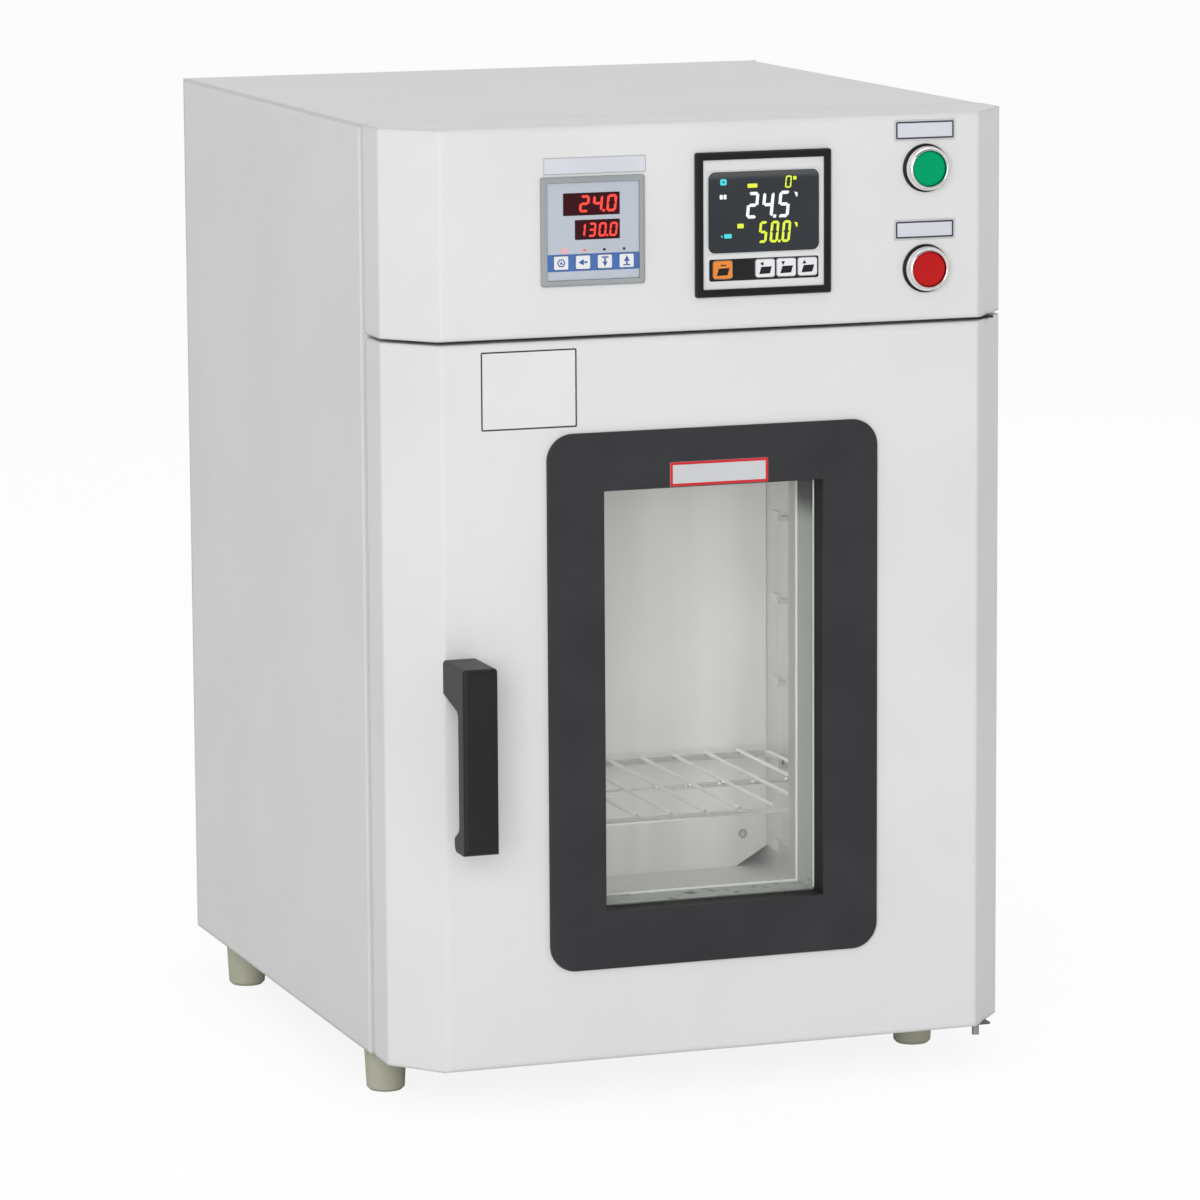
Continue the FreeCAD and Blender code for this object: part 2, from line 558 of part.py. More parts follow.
def air_baffle():
    # rear plate of the chamber: rings of six-sided intake holes, outlet slots, cut corners at the floor
    node = body("air_baffle")
    plate = sketch(node, "baffle_outline", "XZ_Plane", f"-{baffle_face}")
    side = f"({chamber_half} - dim.panel_gap)"
    low, high = "dim.chamber_floor", f"({chamber_top} - dim.panel_gap)"
    outline(plate, [(f"-{side} + dim.baffle_cut_width", low), (f"{side} - dim.baffle_cut_width", low),
                    (side, f"{low} + dim.baffle_cut_height"), (side, high), (f"-{side}", high),
                    (f"-{side}", f"{low} + dim.baffle_cut_height")])
    feature(node, "Pad", "baffle_sheet_metal", plate, "dim.baffle_sheet", True)
    for name, out, count in (("intake_centre", "0", 1), ("intake_ring", "dim.intake_pitch", 6),
                             ("intake_rim", "2 * dim.intake_pitch", 12)):
        opening = sketch(node, name, "XZ_Plane", f"-{baffle_face}")
        opening.setExpression("AttachmentOffset.Base.y", "dim.fan_height")
        many_sided(opening, out, "0", "dim.intake_hole", 6, 30)
        pocket = feature(node, "Pocket", name + "_cut", opening, "2 * dim.baffle_sheet")
        if count > 1:
            ring = node.newObject("PartDesign::PolarPattern", name + "_pattern")
            ring.Originals = [pocket]
            ring.Axis = (opening, ["N_Axis"])
            ring.Angle = 360
            ring.Occurrences = count
            node.Tip = ring
            doc.recompute()
    outlet = sketch(node, "outlet_slots", "XZ_Plane", f"-{baffle_face}")
    for side_sign in (-1, 1):
        for row in (1, 2, 3):
            rectangle(outlet, f"({side_sign} * ({chamber_half} - dim.outlet_width))",
                      f"({chamber_top} - {row} * 3 * dim.outlet_height)", "dim.outlet_width",
                      "dim.outlet_height")
    feature(node, "Pocket", "outlet_cut", outlet, "2 * dim.baffle_sheet")


def shelf_racks():
    # four uprights on the side walls, each with upturned hooks at every level
    pieces = []
    for side in (-1, 1):
        for y in (f"({frame_back} + dim.upright_front)", f"({baffle_face} - dim.upright_front)"):
            wall = f"({side} * {chamber_half})"
            strip_x = wall if side < 0 else f"({wall} - dim.upright_sheet)"
            strip = box("upright", (strip_x, f"{y} - dim.upright_width / 2",
                                    "dim.level_first - dim.upright_drop"),
                        ("dim.upright_sheet", "dim.upright_width", "dim.upright_length"))
            hooks = [strip]
            for level in range(hook_levels):
                z = f"(dim.level_first + {level} * dim.level_pitch)"
                arm_x = wall if side < 0 else f"({wall} - dim.hook_reach)"
                lip_x = (f"({wall} + dim.hook_reach - dim.hook_sheet)" if side < 0
                         else f"({wall} - dim.hook_reach)")
                hooks.append(box("hook_arm", (arm_x, f"{y} - dim.hook_width / 2", f"{z} - dim.hook_sheet"),
                                 ("dim.hook_reach", "dim.hook_width", "dim.hook_sheet")))
                hooks.append(box("hook_lip", (lip_x, f"{y} - dim.hook_width / 2", f"{z} - dim.hook_sheet"),
                                 ("dim.hook_sheet", "dim.hook_width", "dim.hook_sheet + dim.hook_lip")))
            pieces.append(fuse("rack", hooks))
    keep("shelf_racks", group("racks", pieces))


def wire_shelf():
    # bent rod frame on the hooks, a middle rail and thinner wires welded on top
    z = f"(dim.level_first + {shelf_level} * dim.level_pitch + dim.shelf_rod + 0.05)"
    side = f"({chamber_half} - dim.upright_sheet - dim.shelf_side_room)"
    start = f"({frame_back} + dim.shelf_front)"
    depth = f"({baffle_face} - dim.shelf_rear_room - {start})"
    middle = f"({start} + {depth} / 2)"
    frame = doc.addObject("PartDesign::Body", "shelf_frame")
    spine = sketch(frame, "shelf_spine", "XY_Plane", z)
    rounded(spine, 0, middle, f"2 * {side}", depth, "dim.shelf_bend")
    profile = sketch(frame, "shelf_profile", "XZ_Plane", f"-{middle}")
    many_sided(profile, side, z, "dim.shelf_rod", 8, 22.5)
    bend = frame.newObject("PartDesign::AdditivePipe", "shelf_bend")
    bend.Profile = profile
    bend.Spine = (spine, [f"Edge{index}" for index in range(1, 9)])
    rail = prism("shelf_rail", (f"-{side}", middle, z), 8, "dim.shelf_rail", f"2 * {side}", (1, 0, 0))
    wires = [prism("shelf_cross", (f"{index - (shelf_wires - 1) / 2} * dim.shelf_wire_pitch",
                                   f"{start} - dim.shelf_wire",
                                   f"{z} + dim.shelf_rod + 0.4 * dim.shelf_wire"),
                   8, "dim.shelf_wire", f"{depth} + 2 * dim.shelf_wire")
             for index in range(shelf_wires)]
    keep("wire_shelf", fuse("shelf_welded", [frame, rail] + wires))


# Fan, heater and motor

def fan_impeller():
    # radial impeller: hub, back disc and curved blades
    node = body("fan_impeller")
    z = "dim.fan_height"
    disc = sketch(node, "impeller_disc", "XZ_Plane", f"-({fan_back} - dim.fan_disc)")
    circle(disc, 0, z, "dim.fan_radius")
    circle(disc, 0, z, "dim.shaft_radius + 0.02")
    feature(node, "Pad", "impeller_back", disc, "dim.fan_disc", True)
    hub = sketch(node, "impeller_hub", "XZ_Plane", f"-({fan_back} - dim.fan_disc)")
    circle(hub, 0, z, "dim.hub_radius")
    circle(hub, 0, z, "dim.shaft_radius + 0.02")
    feature(node, "Pad", "impeller_boss", hub, "dim.hub_length")
    blade = sketch(node, "impeller_blade", "XZ_Plane", f"-({fan_back} - dim.fan_disc)")
    blade.setExpression("AttachmentOffset.Base.y", z)
    curved_vane(blade)
    vane = feature(node, "Pad", "impeller_vane", blade, "dim.fan_width - dim.fan_disc")
    ring = node.newObject("PartDesign::PolarPattern", "impeller_vanes")
    ring.Originals = [vane]
    ring.Axis = (blade, ["N_Axis"])
    ring.Angle = 360
    ring.Occurrences = blade_count
    node.Tip = ring


def curved_vane(drawing):
    # one vane swept back from root to rim, drawn about the fan's axis
    rim = "(dim.fan_radius - 1)"
    tip_x, tip_y = f"{rim} * cos(dim.blade_lean * 1 deg)", f"{rim} * sin(dim.blade_lean * 1 deg)"
    root, tip = vector(value("dim.blade_root"), 0, 0), vector(value(tip_x), value(tip_y), 0)
    chord = tip - root
    curve = value("dim.blade_curve")
    sag = curve - math.sqrt(curve ** 2 - chord.Length ** 2 / 4)
    belly = (root + tip) * 0.5 + vector(chord.y, -chord.x, 0).normalize() * sag
    thick = vector(0, value("dim.blade_sheet"), 0)
    for edge in (Part.Arc(root, belly, tip), Part.LineSegment(tip, tip + thick),
                 Part.Arc(root + thick, belly + thick, tip + thick), Part.LineSegment(root + thick, root)):
        drawing.addGeometry(edge, False)
    for joined in ((0, 2, 1, 1), (1, 2, 2, 2), (2, 1, 3, 1), (3, 2, 0, 1)):
        drawing.addConstraint(Sketcher.Constraint("Coincident", *joined))
    for edge, lift in ((0, "0"), (2, "dim.blade_sheet")):
        hold(drawing, edge, 1, "dim.blade_root", lift)
        hold(drawing, edge, 2, tip_x, f"{tip_y} + {lift}")
        driven(drawing, Sketcher.Constraint("Radius", edge, curve), "dim.blade_curve")


def motor_shaft():
    start = f"({fan_back} - dim.hub_length - dim.fan_disc)"
    length = f"{bulkhead_back} + dim.motor_boss + dim.motor_length / 2 - {start}"
    keep("motor_shaft", rod("shaft", (0, start, "dim.fan_height"), "dim.shaft_radius", length))


def fan_motor():
    # round motor on a boss, ribbed end bell, bored for the shaft
    z = "dim.fan_height"
    start = f"({bulkhead_back} + dim.motor_boss)"
    can = rod("motor_can", (0, start, z), "dim.motor_radius", "dim.motor_length")
    boss = rod("motor_boss_ring", (0, bulkhead_back, z), "dim.motor_boss_radius", "dim.motor_boss + 1")
    bell = cone("motor_bell", (0, f"{start} + dim.motor_length", z), "dim.motor_radius",
                "dim.motor_boss_radius", "dim.motor_boss")
    bore = rod("motor_bore", (0, f"{bulkhead_back} - 1", z), "dim.shaft_radius + dim.shaft_fit",
               "dim.motor_boss + dim.motor_length / 2 + 2")
    keep("fan_motor", cut("motor_cut", fuse("motor_solid", [can, boss, bell]), [bore]))


def motor_bulkhead():
    # sheet behind the wool that carries the motor
    blank = box("bulkhead_blank", (f"-{inner_half} + dim.panel_gap", wall_back, base_top),
                (f"2 * {inner_half} - 2 * dim.panel_gap", "dim.bulkhead_sheet", f"{tray_low} - {base_top}"))
    keep("motor_bulkhead", cut("bulkhead_cut", blank, wall_holes("bulkhead", wall_back,
                                                                 "dim.bulkhead_sheet")))


def heater_element():
    # sheathed ring round the impeller, both ends led back through the wall in sleeves
    y = f"({fan_back} - dim.fan_width / 2)"
    ring = doc.addObject("PartDesign::Body", "heater_ring_tube")
    section = sketch(ring, "heater_section", "YZ_Plane")
    section.setExpression("AttachmentOffset.Base.y", "dim.fan_height")
    many_sided(section, y, "dim.heater_ring", "dim.heater_tube", 8, 22.5)
    sweep = ring.newObject("PartDesign::Revolution", "heater_sweep")
    sweep.Profile = section
    sweep.ReferenceAxis = (section, ["H_Axis"])
    sweep.setExpression("Angle", "360 - 2 * dim.heater_gap_angle")
    sweep.Midplane = True
    start = f"({y} - dim.heater_sleeve)"
    sleeves = [rod("heater_end", (x, start, z), "dim.heater_sleeve",
                   f"{bulkhead_back} + dim.heater_leg - {start}") for x, z in heater_legs()]
    keep("heater_element", fuse("heater", [ring] + sleeves))


# Vent, damper, gland and probes

def vent_holes(name, start, depth):
    return [rod(name, (f"dim.vent_side + dim.vent_hole_ring * cos({angle} deg)", f"{start} - 1",
                       f"dim.vent_height + dim.vent_hole_ring * sin({angle} deg)"),
                "dim.vent_hole", f"{depth} + 2") for angle in (90, 210, 330)]


def vent_tube():
    # exhaust pipe from the chamber's back wall to a holed end plate outside
    x, z = "dim.vent_side", "dim.vent_height"
    pipe = rod("vent_pipe", (x, f"{liner_back} + 0.2", z), "dim.vent_radius",
               f"{back} - {liner_back} - 0.2")
    flange = rod("vent_plate", (x, back, z), "dim.vent_flange", "dim.vent_flange_sheet")
    hollow = rod("vent_hollow", (x, f"{liner_back} - 1", z), "dim.vent_radius - dim.vent_wall",
                 f"{back} - {liner_back} + 1")
    shell = cut("vent_shell", fuse("vent_solid", [pipe, flange]),
                [hollow] + vent_holes("vent_plate_hole", back, "dim.vent_flange_sheet"))
    pivot = rod("vent_pivot_pin", (x, back, z), "dim.vent_pivot",
                "dim.vent_flange_sheet + dim.damper_gap + dim.damper_sheet")
    keep("vent_tube", fuse("vent", [shell, pivot]))


def vent_damper():
    # turning disc over the vent plate, with a finger knob
    x, z = "dim.vent_side", "dim.vent_height"
    start = f"({back} + dim.vent_flange_sheet + dim.damper_gap)"
    disc = rod("damper_disc", (x, start, z), "dim.damper_radius", "dim.damper_sheet")
    knob = rod("damper_knob", (x, f"{start} + dim.damper_sheet / 2", z), "dim.knob_radius",
               f"{back} + dim.damper_reach - {start} - dim.damper_sheet / 2")
    bar = box("damper_grip", (f"{x} - dim.damper_radius * 0.7",
                              f"{start} + dim.damper_sheet / 2", f"{z} - 1.5"),
              ("dim.damper_radius * 1.4", f"{back} + dim.damper_reach - {start} - dim.damper_sheet", "3"))
    bore = rod("damper_bore", (x, f"{start} - 1", z), "dim.vent_pivot + dim.shaft_fit",
               "dim.damper_sheet + 1.4")
    keep("vent_damper", cut("damper_cut", fuse("damper_solid", [disc, knob, bar]),
                            [bore] + vent_holes("damper_hole", start, "dim.damper_sheet")))


def cable_gland():
    # hexagon gland through the rear panel, with its lock nut inside
    node = body("cable_gland")
    x, z = "-dim.gland_side", "dim.gland_height"
    for name, start, length, radius, sides in (
            ("gland_hexagon", back, "dim.gland_reach * 0.4", "dim.gland_hex", 6),
            ("gland_dome", f"({back} + dim.gland_reach * 0.4)", "dim.gland_reach * 0.6",
             "dim.gland_hex - 2", 0),
            ("gland_thread_rod", f"({back} - dim.gland_inside)", "dim.gland_inside",
             "dim.gland_thread", 0),
            ("gland_nut", f"({back} - dim.case_sheet - 4)", "4", "dim.gland_hex", 6)):
        ring = sketch(node, name + "_outline", "XZ_Plane", f"-{start}")
        if sides:
            many_sided(ring, x, z, radius, sides)
        else:
            circle(ring, x, z, radius)
        circle(ring, x, z, "dim.gland_bore")
        feature(node, "Pad", name, ring, length, True)


def temperature_probes():
    rods = [rod("probe", (x, y, f"{chamber_top} - dim.probe_dip"), "dim.probe_radius",
                f"{tray_low} + dim.tray_sheet + dim.probe_top - {chamber_top} + dim.probe_dip", (0, 0, 1))
            for x, y in probe_spots()]
    collars = [prism("probe_collar", (x, y, f"{tray_low} + dim.tray_sheet"), 6, "2 * dim.probe_radius",
                     "dim.probe_radius", (0, 0, 1)) for x, y in probe_spots()]
    keep("temperature_probes", group("probes", [fuse("probe_solid", pair) for pair in zip(rods, collars)]))


# Head with its electrics

def front_plan(drawing, left_rear, right_rear, wall):
    # plan of a bevelled front, drawn in by a wall thickness on every side but the rear
    slope = "(dim.bevel_width / (dim.front_depth - dim.return_depth))"
    lean = f"(sqrt(1 + {slope} * {slope}) * {wall})"
    side = f"({front_half} - {wall})"
    nose = f"({face} + {wall})"
    knee_y = f"({front} - dim.return_depth + ({lean} - {wall}) / {slope})"
    nose_x = f"({side} - ({knee_y} - {nose}) * {slope})"
    points = [(f"-{side}", left_rear), (f"-{side}", knee_y), (f"-{nose_x}", nose), (nose_x, nose),
              (side, knee_y), (side, right_rear)]
    if left_rear != right_rear:
        points.append((f"({side} - dim.hinge_relief_width)", left_rear))
    outline(drawing, points)


def head_shell():
    # folded control head: bevelled front, cut-outs for two controllers and two buttons
    node = body("head_shell")
    plan = sketch(node, "head_plan", "XY_Plane", head_low)
    front_plan(plan, front, front, "0")
    feature(node, "Pad", "head_block", plan, "dim.head_height")
    rounded_edges(node, "head_corner", "dim.corner_round", lambda edge: (
        runs_along(edge, "x") and lies_at(edge, "y", front) and lies_at(edge, "z", head_low)))
    rounded_edges(node, "head_bends", "dim.bend_round", lambda edge: (
        runs_along(edge, "z") and not lies_at(edge, "y", front)) or (
        runs_along(edge, "x") and lies_at(edge, "y", face)))
    room = sketch(node, "head_room", "XY_Plane", f"{head_low} + dim.front_sheet")
    front_plan(room, f"({front} + 1)", f"({front} + 1)", "dim.front_sheet")
    feature(node, "Pocket", "head_hollow", room, "dim.head_height - 2 * dim.front_sheet", True)
    holes = sketch(node, "head_cutouts", "XZ_Plane", f"-{face}")
    for kind in ("main", "limit"):
        left, upper, size, opening = (f"dim.{kind}_{word}" for word in ("left", "top", "size", "cutout"))
        low, high = f"({size} - {opening}) / 2", f"({size} + {opening}) / 2"
        outline(holes, [(f"{left} + {low}", f"{upper} - {high}"), (f"{left} + {high}", f"{upper} - {high}"),
                        (f"{left} + {high}", f"{upper} - {low}"), (f"{left} + {low}", f"{upper} - {low}")])
    for height in ("dim.start_height", "dim.stop_height"):
        circle(holes, "dim.button_side", height, "dim.barrel_radius + dim.panel_gap / 2")
    feature(node, "Pocket", "head_cutouts_cut", holes, "2 * dim.front_sheet")


def electrics_tray():
    # shelf over the chamber wool, turned up along its front
    start = f"({frame_back} + dim.panel_gap)"
    width = f"(2 * {inner_half} - 2 * dim.panel_gap)"
    sheet_metal = box("tray_sheet_metal", (f"-{width} / 2", start, tray_low),
                      (width, f"{bulkhead_back} - {start}", "dim.tray_sheet"))
    lip = box("tray_lip_sheet", (f"-{width} / 2", start, tray_low),
              (width, "dim.tray_sheet", "dim.tray_lip"))
    keep("electrics_tray", cut("tray_cut", fuse("tray_solid", [sheet_metal, lip]),
                               probe_holes("tray", tray_low, "dim.tray_sheet")))


def contactor():
    # magnetic switch that the start and stop buttons work
    x, y = "-dim.contactor_side", f"({frame_back} + dim.switchgear_place)"
    z = f"({tray_low} + dim.tray_sheet)"
    lower = box("contactor_base", (x, y, z), ("dim.contactor_width", "dim.contactor_depth",
                                              "dim.contactor_height * 0.6"))
    upper = box("contactor_head",
                (x, f"{y} + dim.contactor_depth * 0.2", f"{z} + dim.contactor_height * 0.5"),
                ("dim.contactor_width", "dim.contactor_depth * 0.6", "dim.contactor_height * 0.5"))
    keep("contactor", fuse("contactor_solid", [lower, upper]))


def solid_state_relay():
    # heater relay on a finned heat sink
    x, y, z = "-dim.relay_side", f"({frame_back} + dim.switchgear_place)", f"({tray_low} + dim.tray_sheet)"
    plate = box("sink_plate", (x, y, f"{z} + dim.sink_height - 4"),
                ("dim.relay_width", "dim.relay_depth", "4"))
    fins = [box("sink_fin", (f"{x} + {index} * (dim.relay_width - dim.fin_sheet) / {fin_count - 1}", y, z),
                ("dim.fin_sheet", "dim.relay_depth", "dim.sink_height - 2")) for index in range(fin_count)]
    relay = box("relay_block", (x, f"{y} + 2", f"{z} + dim.sink_height - 1"),
                ("dim.relay_width", "dim.relay_depth - 4", "dim.relay_height"))
    keep("solid_state_relay", fuse("relay_solid", [plate, relay] + fins))


def terminal_block():
    x, y, z = "dim.strip_side", f"({frame_back} + dim.strip_place)", f"({tray_low} + dim.tray_sheet)"
    strip = box("terminal_strip", (x, y, z),
                ("dim.strip_width", "dim.strip_depth", "dim.strip_height * 0.6"))
    teeth = [box("terminal_wall", (f"{x} + {index} * (dim.strip_width - 2) / 8", y, z),
                 ("2", "dim.strip_depth", "dim.strip_height")) for index in range(9)]
    keep("terminal_block", fuse("terminal_solid", [strip] + teeth))


# Controllers

def controller_case(kind):
    # bevelled square rim in front of the panel and a case behind it, as one moulding
    left, upper, size, proud = (f"dim.{kind}_{word}" for word in ("left", "top", "size", "proud"))
    x, z = f"({left} + {size} / 2)", f"({upper} - {size} / 2)"
    node = body(f"{kind}_controller_case")
    rim = sketch(node, f"{kind}_rim_outline", "XZ_Plane", f"-{face}")
    rounded(rim, x, z, size, size, f"dim.{kind}_round")
    feature(node, "Pad", f"{kind}_rim", rim, proud)
    bevelled_edges(node, f"{kind}_rim_bevel", f"dim.{kind}_edge", lambda edge: (
        lies_at(edge, "y", f"{face} - {proud}")))
    case = sketch(node, f"{kind}_case_outline", "XZ_Plane", f"-{face}")
    rectangle(case, x, z, f"dim.{kind}_case", f"dim.{kind}_case")
    feature(node, "Pad", f"{kind}_case_block", case, f"dim.{kind}_case_depth", True)
    room = sketch(node, f"{kind}_rim_room", "XZ_Plane", f"-({face} - {proud} - 1)")
    rectangle(room, x, z, f"{size} - 2 * dim.{kind}_rim", f"{size} - 2 * dim.{kind}_rim")
    feature(node, "Pocket", f"{kind}_rim_cut", room, f"1 + dim.{kind}_recess + dim.{kind}_face")


def main_key_spot(index):
    return (f"(dim.main_left + {key_places[index]})",
            "(dim.main_top - dim.main_key_drop - dim.main_key_height)")


def main_controller():
    left, upper = "dim.main_left", "dim.main_top"
    controller_case("main")
    window = "(dim.main_size - 2 * dim.main_rim - 0.2)"
    face_y = f"({face} - dim.main_proud + dim.main_recess)"
    plate = box("main_plate", (f"{left} + dim.main_rim + 0.1", face_y,
                               f"{upper} - dim.main_size + dim.main_rim + 0.1"),
                (window, "dim.main_face", window))
    openings = []
    for index in range(4):
        x, z = main_key_spot(index)
        openings.append(box("main_key_opening",
                            (f"{x} - dim.key_room", f"{face_y} - 1", f"{z} - dim.key_room"),
                            ("dim.main_key_width + 2 * dim.key_room", "dim.main_face + 2",
                             "dim.main_key_height + 2 * dim.key_room")))
    keep("main_controller_face", cut("main_face_cut", plate, openings))
    lens = body("main_controller_lens")
    pane = sketch(lens, "lens_outline", "XZ_Plane", f"-{face_y}")
    rounded(pane, f"({left} + dim.main_size / 2)", f"({upper} - dim.lens_drop - dim.lens_height / 2)",
            "dim.lens_width", "dim.lens_height", "3")
    feature(lens, "Pad", "lens_pane", pane, "dim.lens_thick")
    for index in range(4):
        x, z = main_key_spot(index)
        key = body(f"main_key_{index + 1}")
        pad = sketch(key, "main_key_outline", "XZ_Plane",
                     f"-({face_y} - dim.main_key_proud + dim.key_depth)")
        rounded(pad, f"({x} + dim.main_key_width / 2)", f"({z} + dim.main_key_height / 2)",
                "dim.main_key_width", "dim.main_key_height", "1.5")
        feature(key, "Pad", "main_key_pad", pad, "dim.key_depth")


def limit_controller():
    left, upper = "dim.limit_left", "dim.limit_top"
    controller_case("limit")
    window = "(dim.limit_size - 2 * dim.limit_rim - 0.2)"
    face_y = f"({face} - dim.limit_proud + dim.limit_recess)"
    plate = box("limit_plate", (f"{left} + dim.limit_rim + 0.1", face_y,
                                f"{upper} - dim.limit_size + dim.limit_rim + 0.1"),
                (window, "dim.limit_face", window))
    openings = []
    spots = [(f"({left} + dim.limit_key_first + {index} * dim.limit_key_pitch)",
              f"({upper} - dim.limit_key_drop - dim.limit_key_height)") for index in range(4)]
    for x, z in spots:
        openings.append(box("limit_key_opening",
                            (f"{x} - dim.key_room", f"{face_y} - 1", f"{z} - dim.key_room"),
                            ("dim.limit_key + 2 * dim.key_room", "dim.limit_face + 2",
                             "dim.limit_key_height + 2 * dim.key_room")))
    keep("limit_controller_face", cut("limit_face_cut", plate, openings))
    for index, (x, z) in enumerate(spots):
        key = body(f"limit_key_{index + 1}")
        pad = sketch(key, "limit_key_outline", "XZ_Plane",
                     f"-({face_y} - dim.limit_key_proud + dim.limit_key_depth)")
        rounded(pad, f"({x} + dim.limit_key / 2)", f"({z} + dim.limit_key_height / 2)",
                "dim.limit_key", "dim.limit_key_height", "0.8")
        feature(key, "Pad", "limit_key_pad", pad, "dim.limit_key_depth")


# Push buttons

def push_button(name, height):
    x = "dim.button_side"
    bezel_back = f"({face} - dim.flange_thick)"
    bezel_front = f"({bezel_back} - dim.bezel_height)"
    shoulder = f"({bezel_back} - dim.bezel_step - dim.bezel_slope)"
    ring = rod(name + "_ring", (x, f"{bezel_back} - dim.bezel_step", height), "dim.bezel_radius",
               "dim.bezel_step")
    slope = cone(name + "_slope", (x, shoulder, height), "dim.bezel_shoulder", "dim.bezel_radius",
                 "dim.bezel_slope")
    nose = cone(name + "_nose", (x, bezel_front, height), "dim.bezel_nose", "dim.bezel_shoulder",
                f"{shoulder} - {bezel_front}")
    hollow = rod(name + "_hollow", (x, f"{bezel_front} - 1", height), "dim.button_cap + dim.button_room",
                 "dim.bezel_height + 2")
    turned = fuse(name + "_bezel_solid", [ring, slope, nose])
    keep(name + "_bezel", cut(name + "_bezel_cut", turned, [hollow]))
    # moulded body: flange in front of the panel, barrel through it, contact block behind
    flange = rod(name + "_flange", (x, bezel_back, height), "dim.flange_radius", "dim.flange_thick")
    barrel = rod(name + "_barrel", (x, f"{face} - 0.5", height), "dim.barrel_radius",
                 "dim.barrel_length + 0.5")
    block = box(name + "_contacts", (f"{x} - dim.block_size / 2", f"{face} + dim.barrel_length - 1",
                                     f"{height} - dim.block_size / 2"),
                ("dim.block_size", "dim.block_depth", "dim.block_size"))
    nut = prism(name + "_nut", (x, f"{face} + dim.front_sheet", height), 6, "dim.barrel_radius + 3", "3")
    cap_front = f"({bezel_front} + dim.cap_sink)"
    stem_end = f"({cap_front} + dim.button_head + dim.barrel_radius)"
    bore = rod(name + "_bore", (x, f"{bezel_back} - 1", height), "dim.button_stem + dim.button_room",
               f"{stem_end} + dim.button_travel + 1 - {bezel_back} + 1")
    keep(name + "_block", cut(name + "_block_cut",
                              fuse(name + "_block_solid", [flange, barrel, block, nut]), [bore]))
    # cap with a bevelled rim on a guide stem
    cap = body(name + "_cap")
    disc = sketch(cap, name + "_cap_disc", "XZ_Plane", f"-({cap_front} + dim.button_head)")
    circle(disc, x, height, "dim.button_cap")
    feature(cap, "Pad", name + "_cap_head", disc, "dim.button_head")
    bevelled_edges(cap, name + "_cap_rim", "dim.cap_edge", lambda edge: (
        len(edge.Vertexes) == 1 and abs(edge.Vertexes[0].Point.y - value(cap_front)) < 1e-3))
    stem = sketch(cap, name + "_cap_stem", "XZ_Plane", f"-({cap_front} + dim.button_head)")
    circle(stem, x, height, "dim.button_stem")
    feature(cap, "Pad", name + "_cap_guide", stem, "dim.barrel_radius", True)


# Door

def door_shell():
    # deep folded pan with bevelled uprights, round rear corners, window and spindle holes
    node = body("door_shell")
    rear = f"({front} - dim.door_gap)"
    plan = sketch(node, "door_plan", "XY_Plane", base)
    front_plan(plan, rear, f"({front} - dim.hinge_relief)", "0")
    feature(node, "Pad", "door_block", plan, f"{door_top} - {base}")
    rounded_edges(node, "door_corner", "dim.corner_round", lambda edge: (
        runs_along(edge, "x") and lies_at(edge, "y", rear)))
    rounded_edges(node, "door_bends", "dim.bend_round", lambda edge: (
        runs_along(edge, "z") and max(point.Point.y for point in edge.Vertexes) < value(front) - 20) or (
        runs_along(edge, "x") and lies_at(edge, "y", face)))
    room = sketch(node, "door_room", "XY_Plane", f"{base} + dim.front_sheet")
    front_plan(room, f"({front} + 1)", f"({front} + 1)", "dim.front_sheet")
    feature(node, "Pocket", "door_hollow", room, f"{door_top} - {base} - 2 * dim.front_sheet", True)
    window = sketch(node, "door_window", "XZ_Plane", f"-{face}")
    rounded(window, *window_middle, "dim.window_width + 2 * dim.collar_wall + 2 * dim.panel_gap",
            "dim.window_height + 2 * dim.collar_wall + 2 * dim.panel_gap",
            "dim.opening_corner + dim.collar_wall")
    circle(window, "-dim.handle_side", spindle_z, "dim.spindle_bush + dim.shaft_fit")
    feature(node, "Pocket", "door_window_cut", window, "2 * dim.front_sheet")
    for name, height, flip in (("door_pin_low", f"{base} - 1", True),
                               ("door_pin_high", f"{door_top} + 1", False)):
        bush = sketch(node, name, "XY_Plane", height)
        circle(bush, "dim.pin_side", pin_y, "dim.bush_radius + dim.shaft_fit")
        feature(node, "Pocket", name + "_hole", bush, "2 + dim.front_sheet", flip)


def door_inner_panel():
    # inner skin of the door, with a collar that holds the inner glass
    node = body("door_inner_panel")
    side = f"({front_half} - dim.front_sheet - dim.panel_gap)"
    low = f"({base} + dim.front_sheet + dim.panel_gap)"
    high = f"({door_top} - dim.front_sheet - dim.panel_gap)"
    plate = sketch(node, "pan_outline", "XZ_Plane", f"-{pan_front}")
    outline(plate, [(f"-{side}", low), (side, low), (side, high), (f"-{side}", high)])
    circle(plate, "-dim.handle_side", spindle_z, "dim.spindle_bush + dim.shaft_fit")
    feature(node, "Pad", "pan_sheet", plate, "dim.door_pan_sheet", True)
    collar = sketch(node, "pan_collar", "XZ_Plane", f"-{pan_front}")
    rounded(collar, *window_middle, "dim.window_width + 2 * dim.collar_wall",
            "dim.window_height + 2 * dim.collar_wall", "dim.opening_corner + dim.collar_wall")
    feature(node, "Pad", "pan_collar_wall", collar, f"{pan_front} - {inner_glass_back}")
    opening = sketch(node, "pan_opening", "XZ_Plane", f"-({inner_glass_back} - 1)")
    rounded(opening, *window_middle, "dim.window_width", "dim.window_height", "dim.opening_corner")
    feature(node, "Pocket", "pan_opening_cut", opening, f"{pan_face} - {inner_glass_back} + 2")


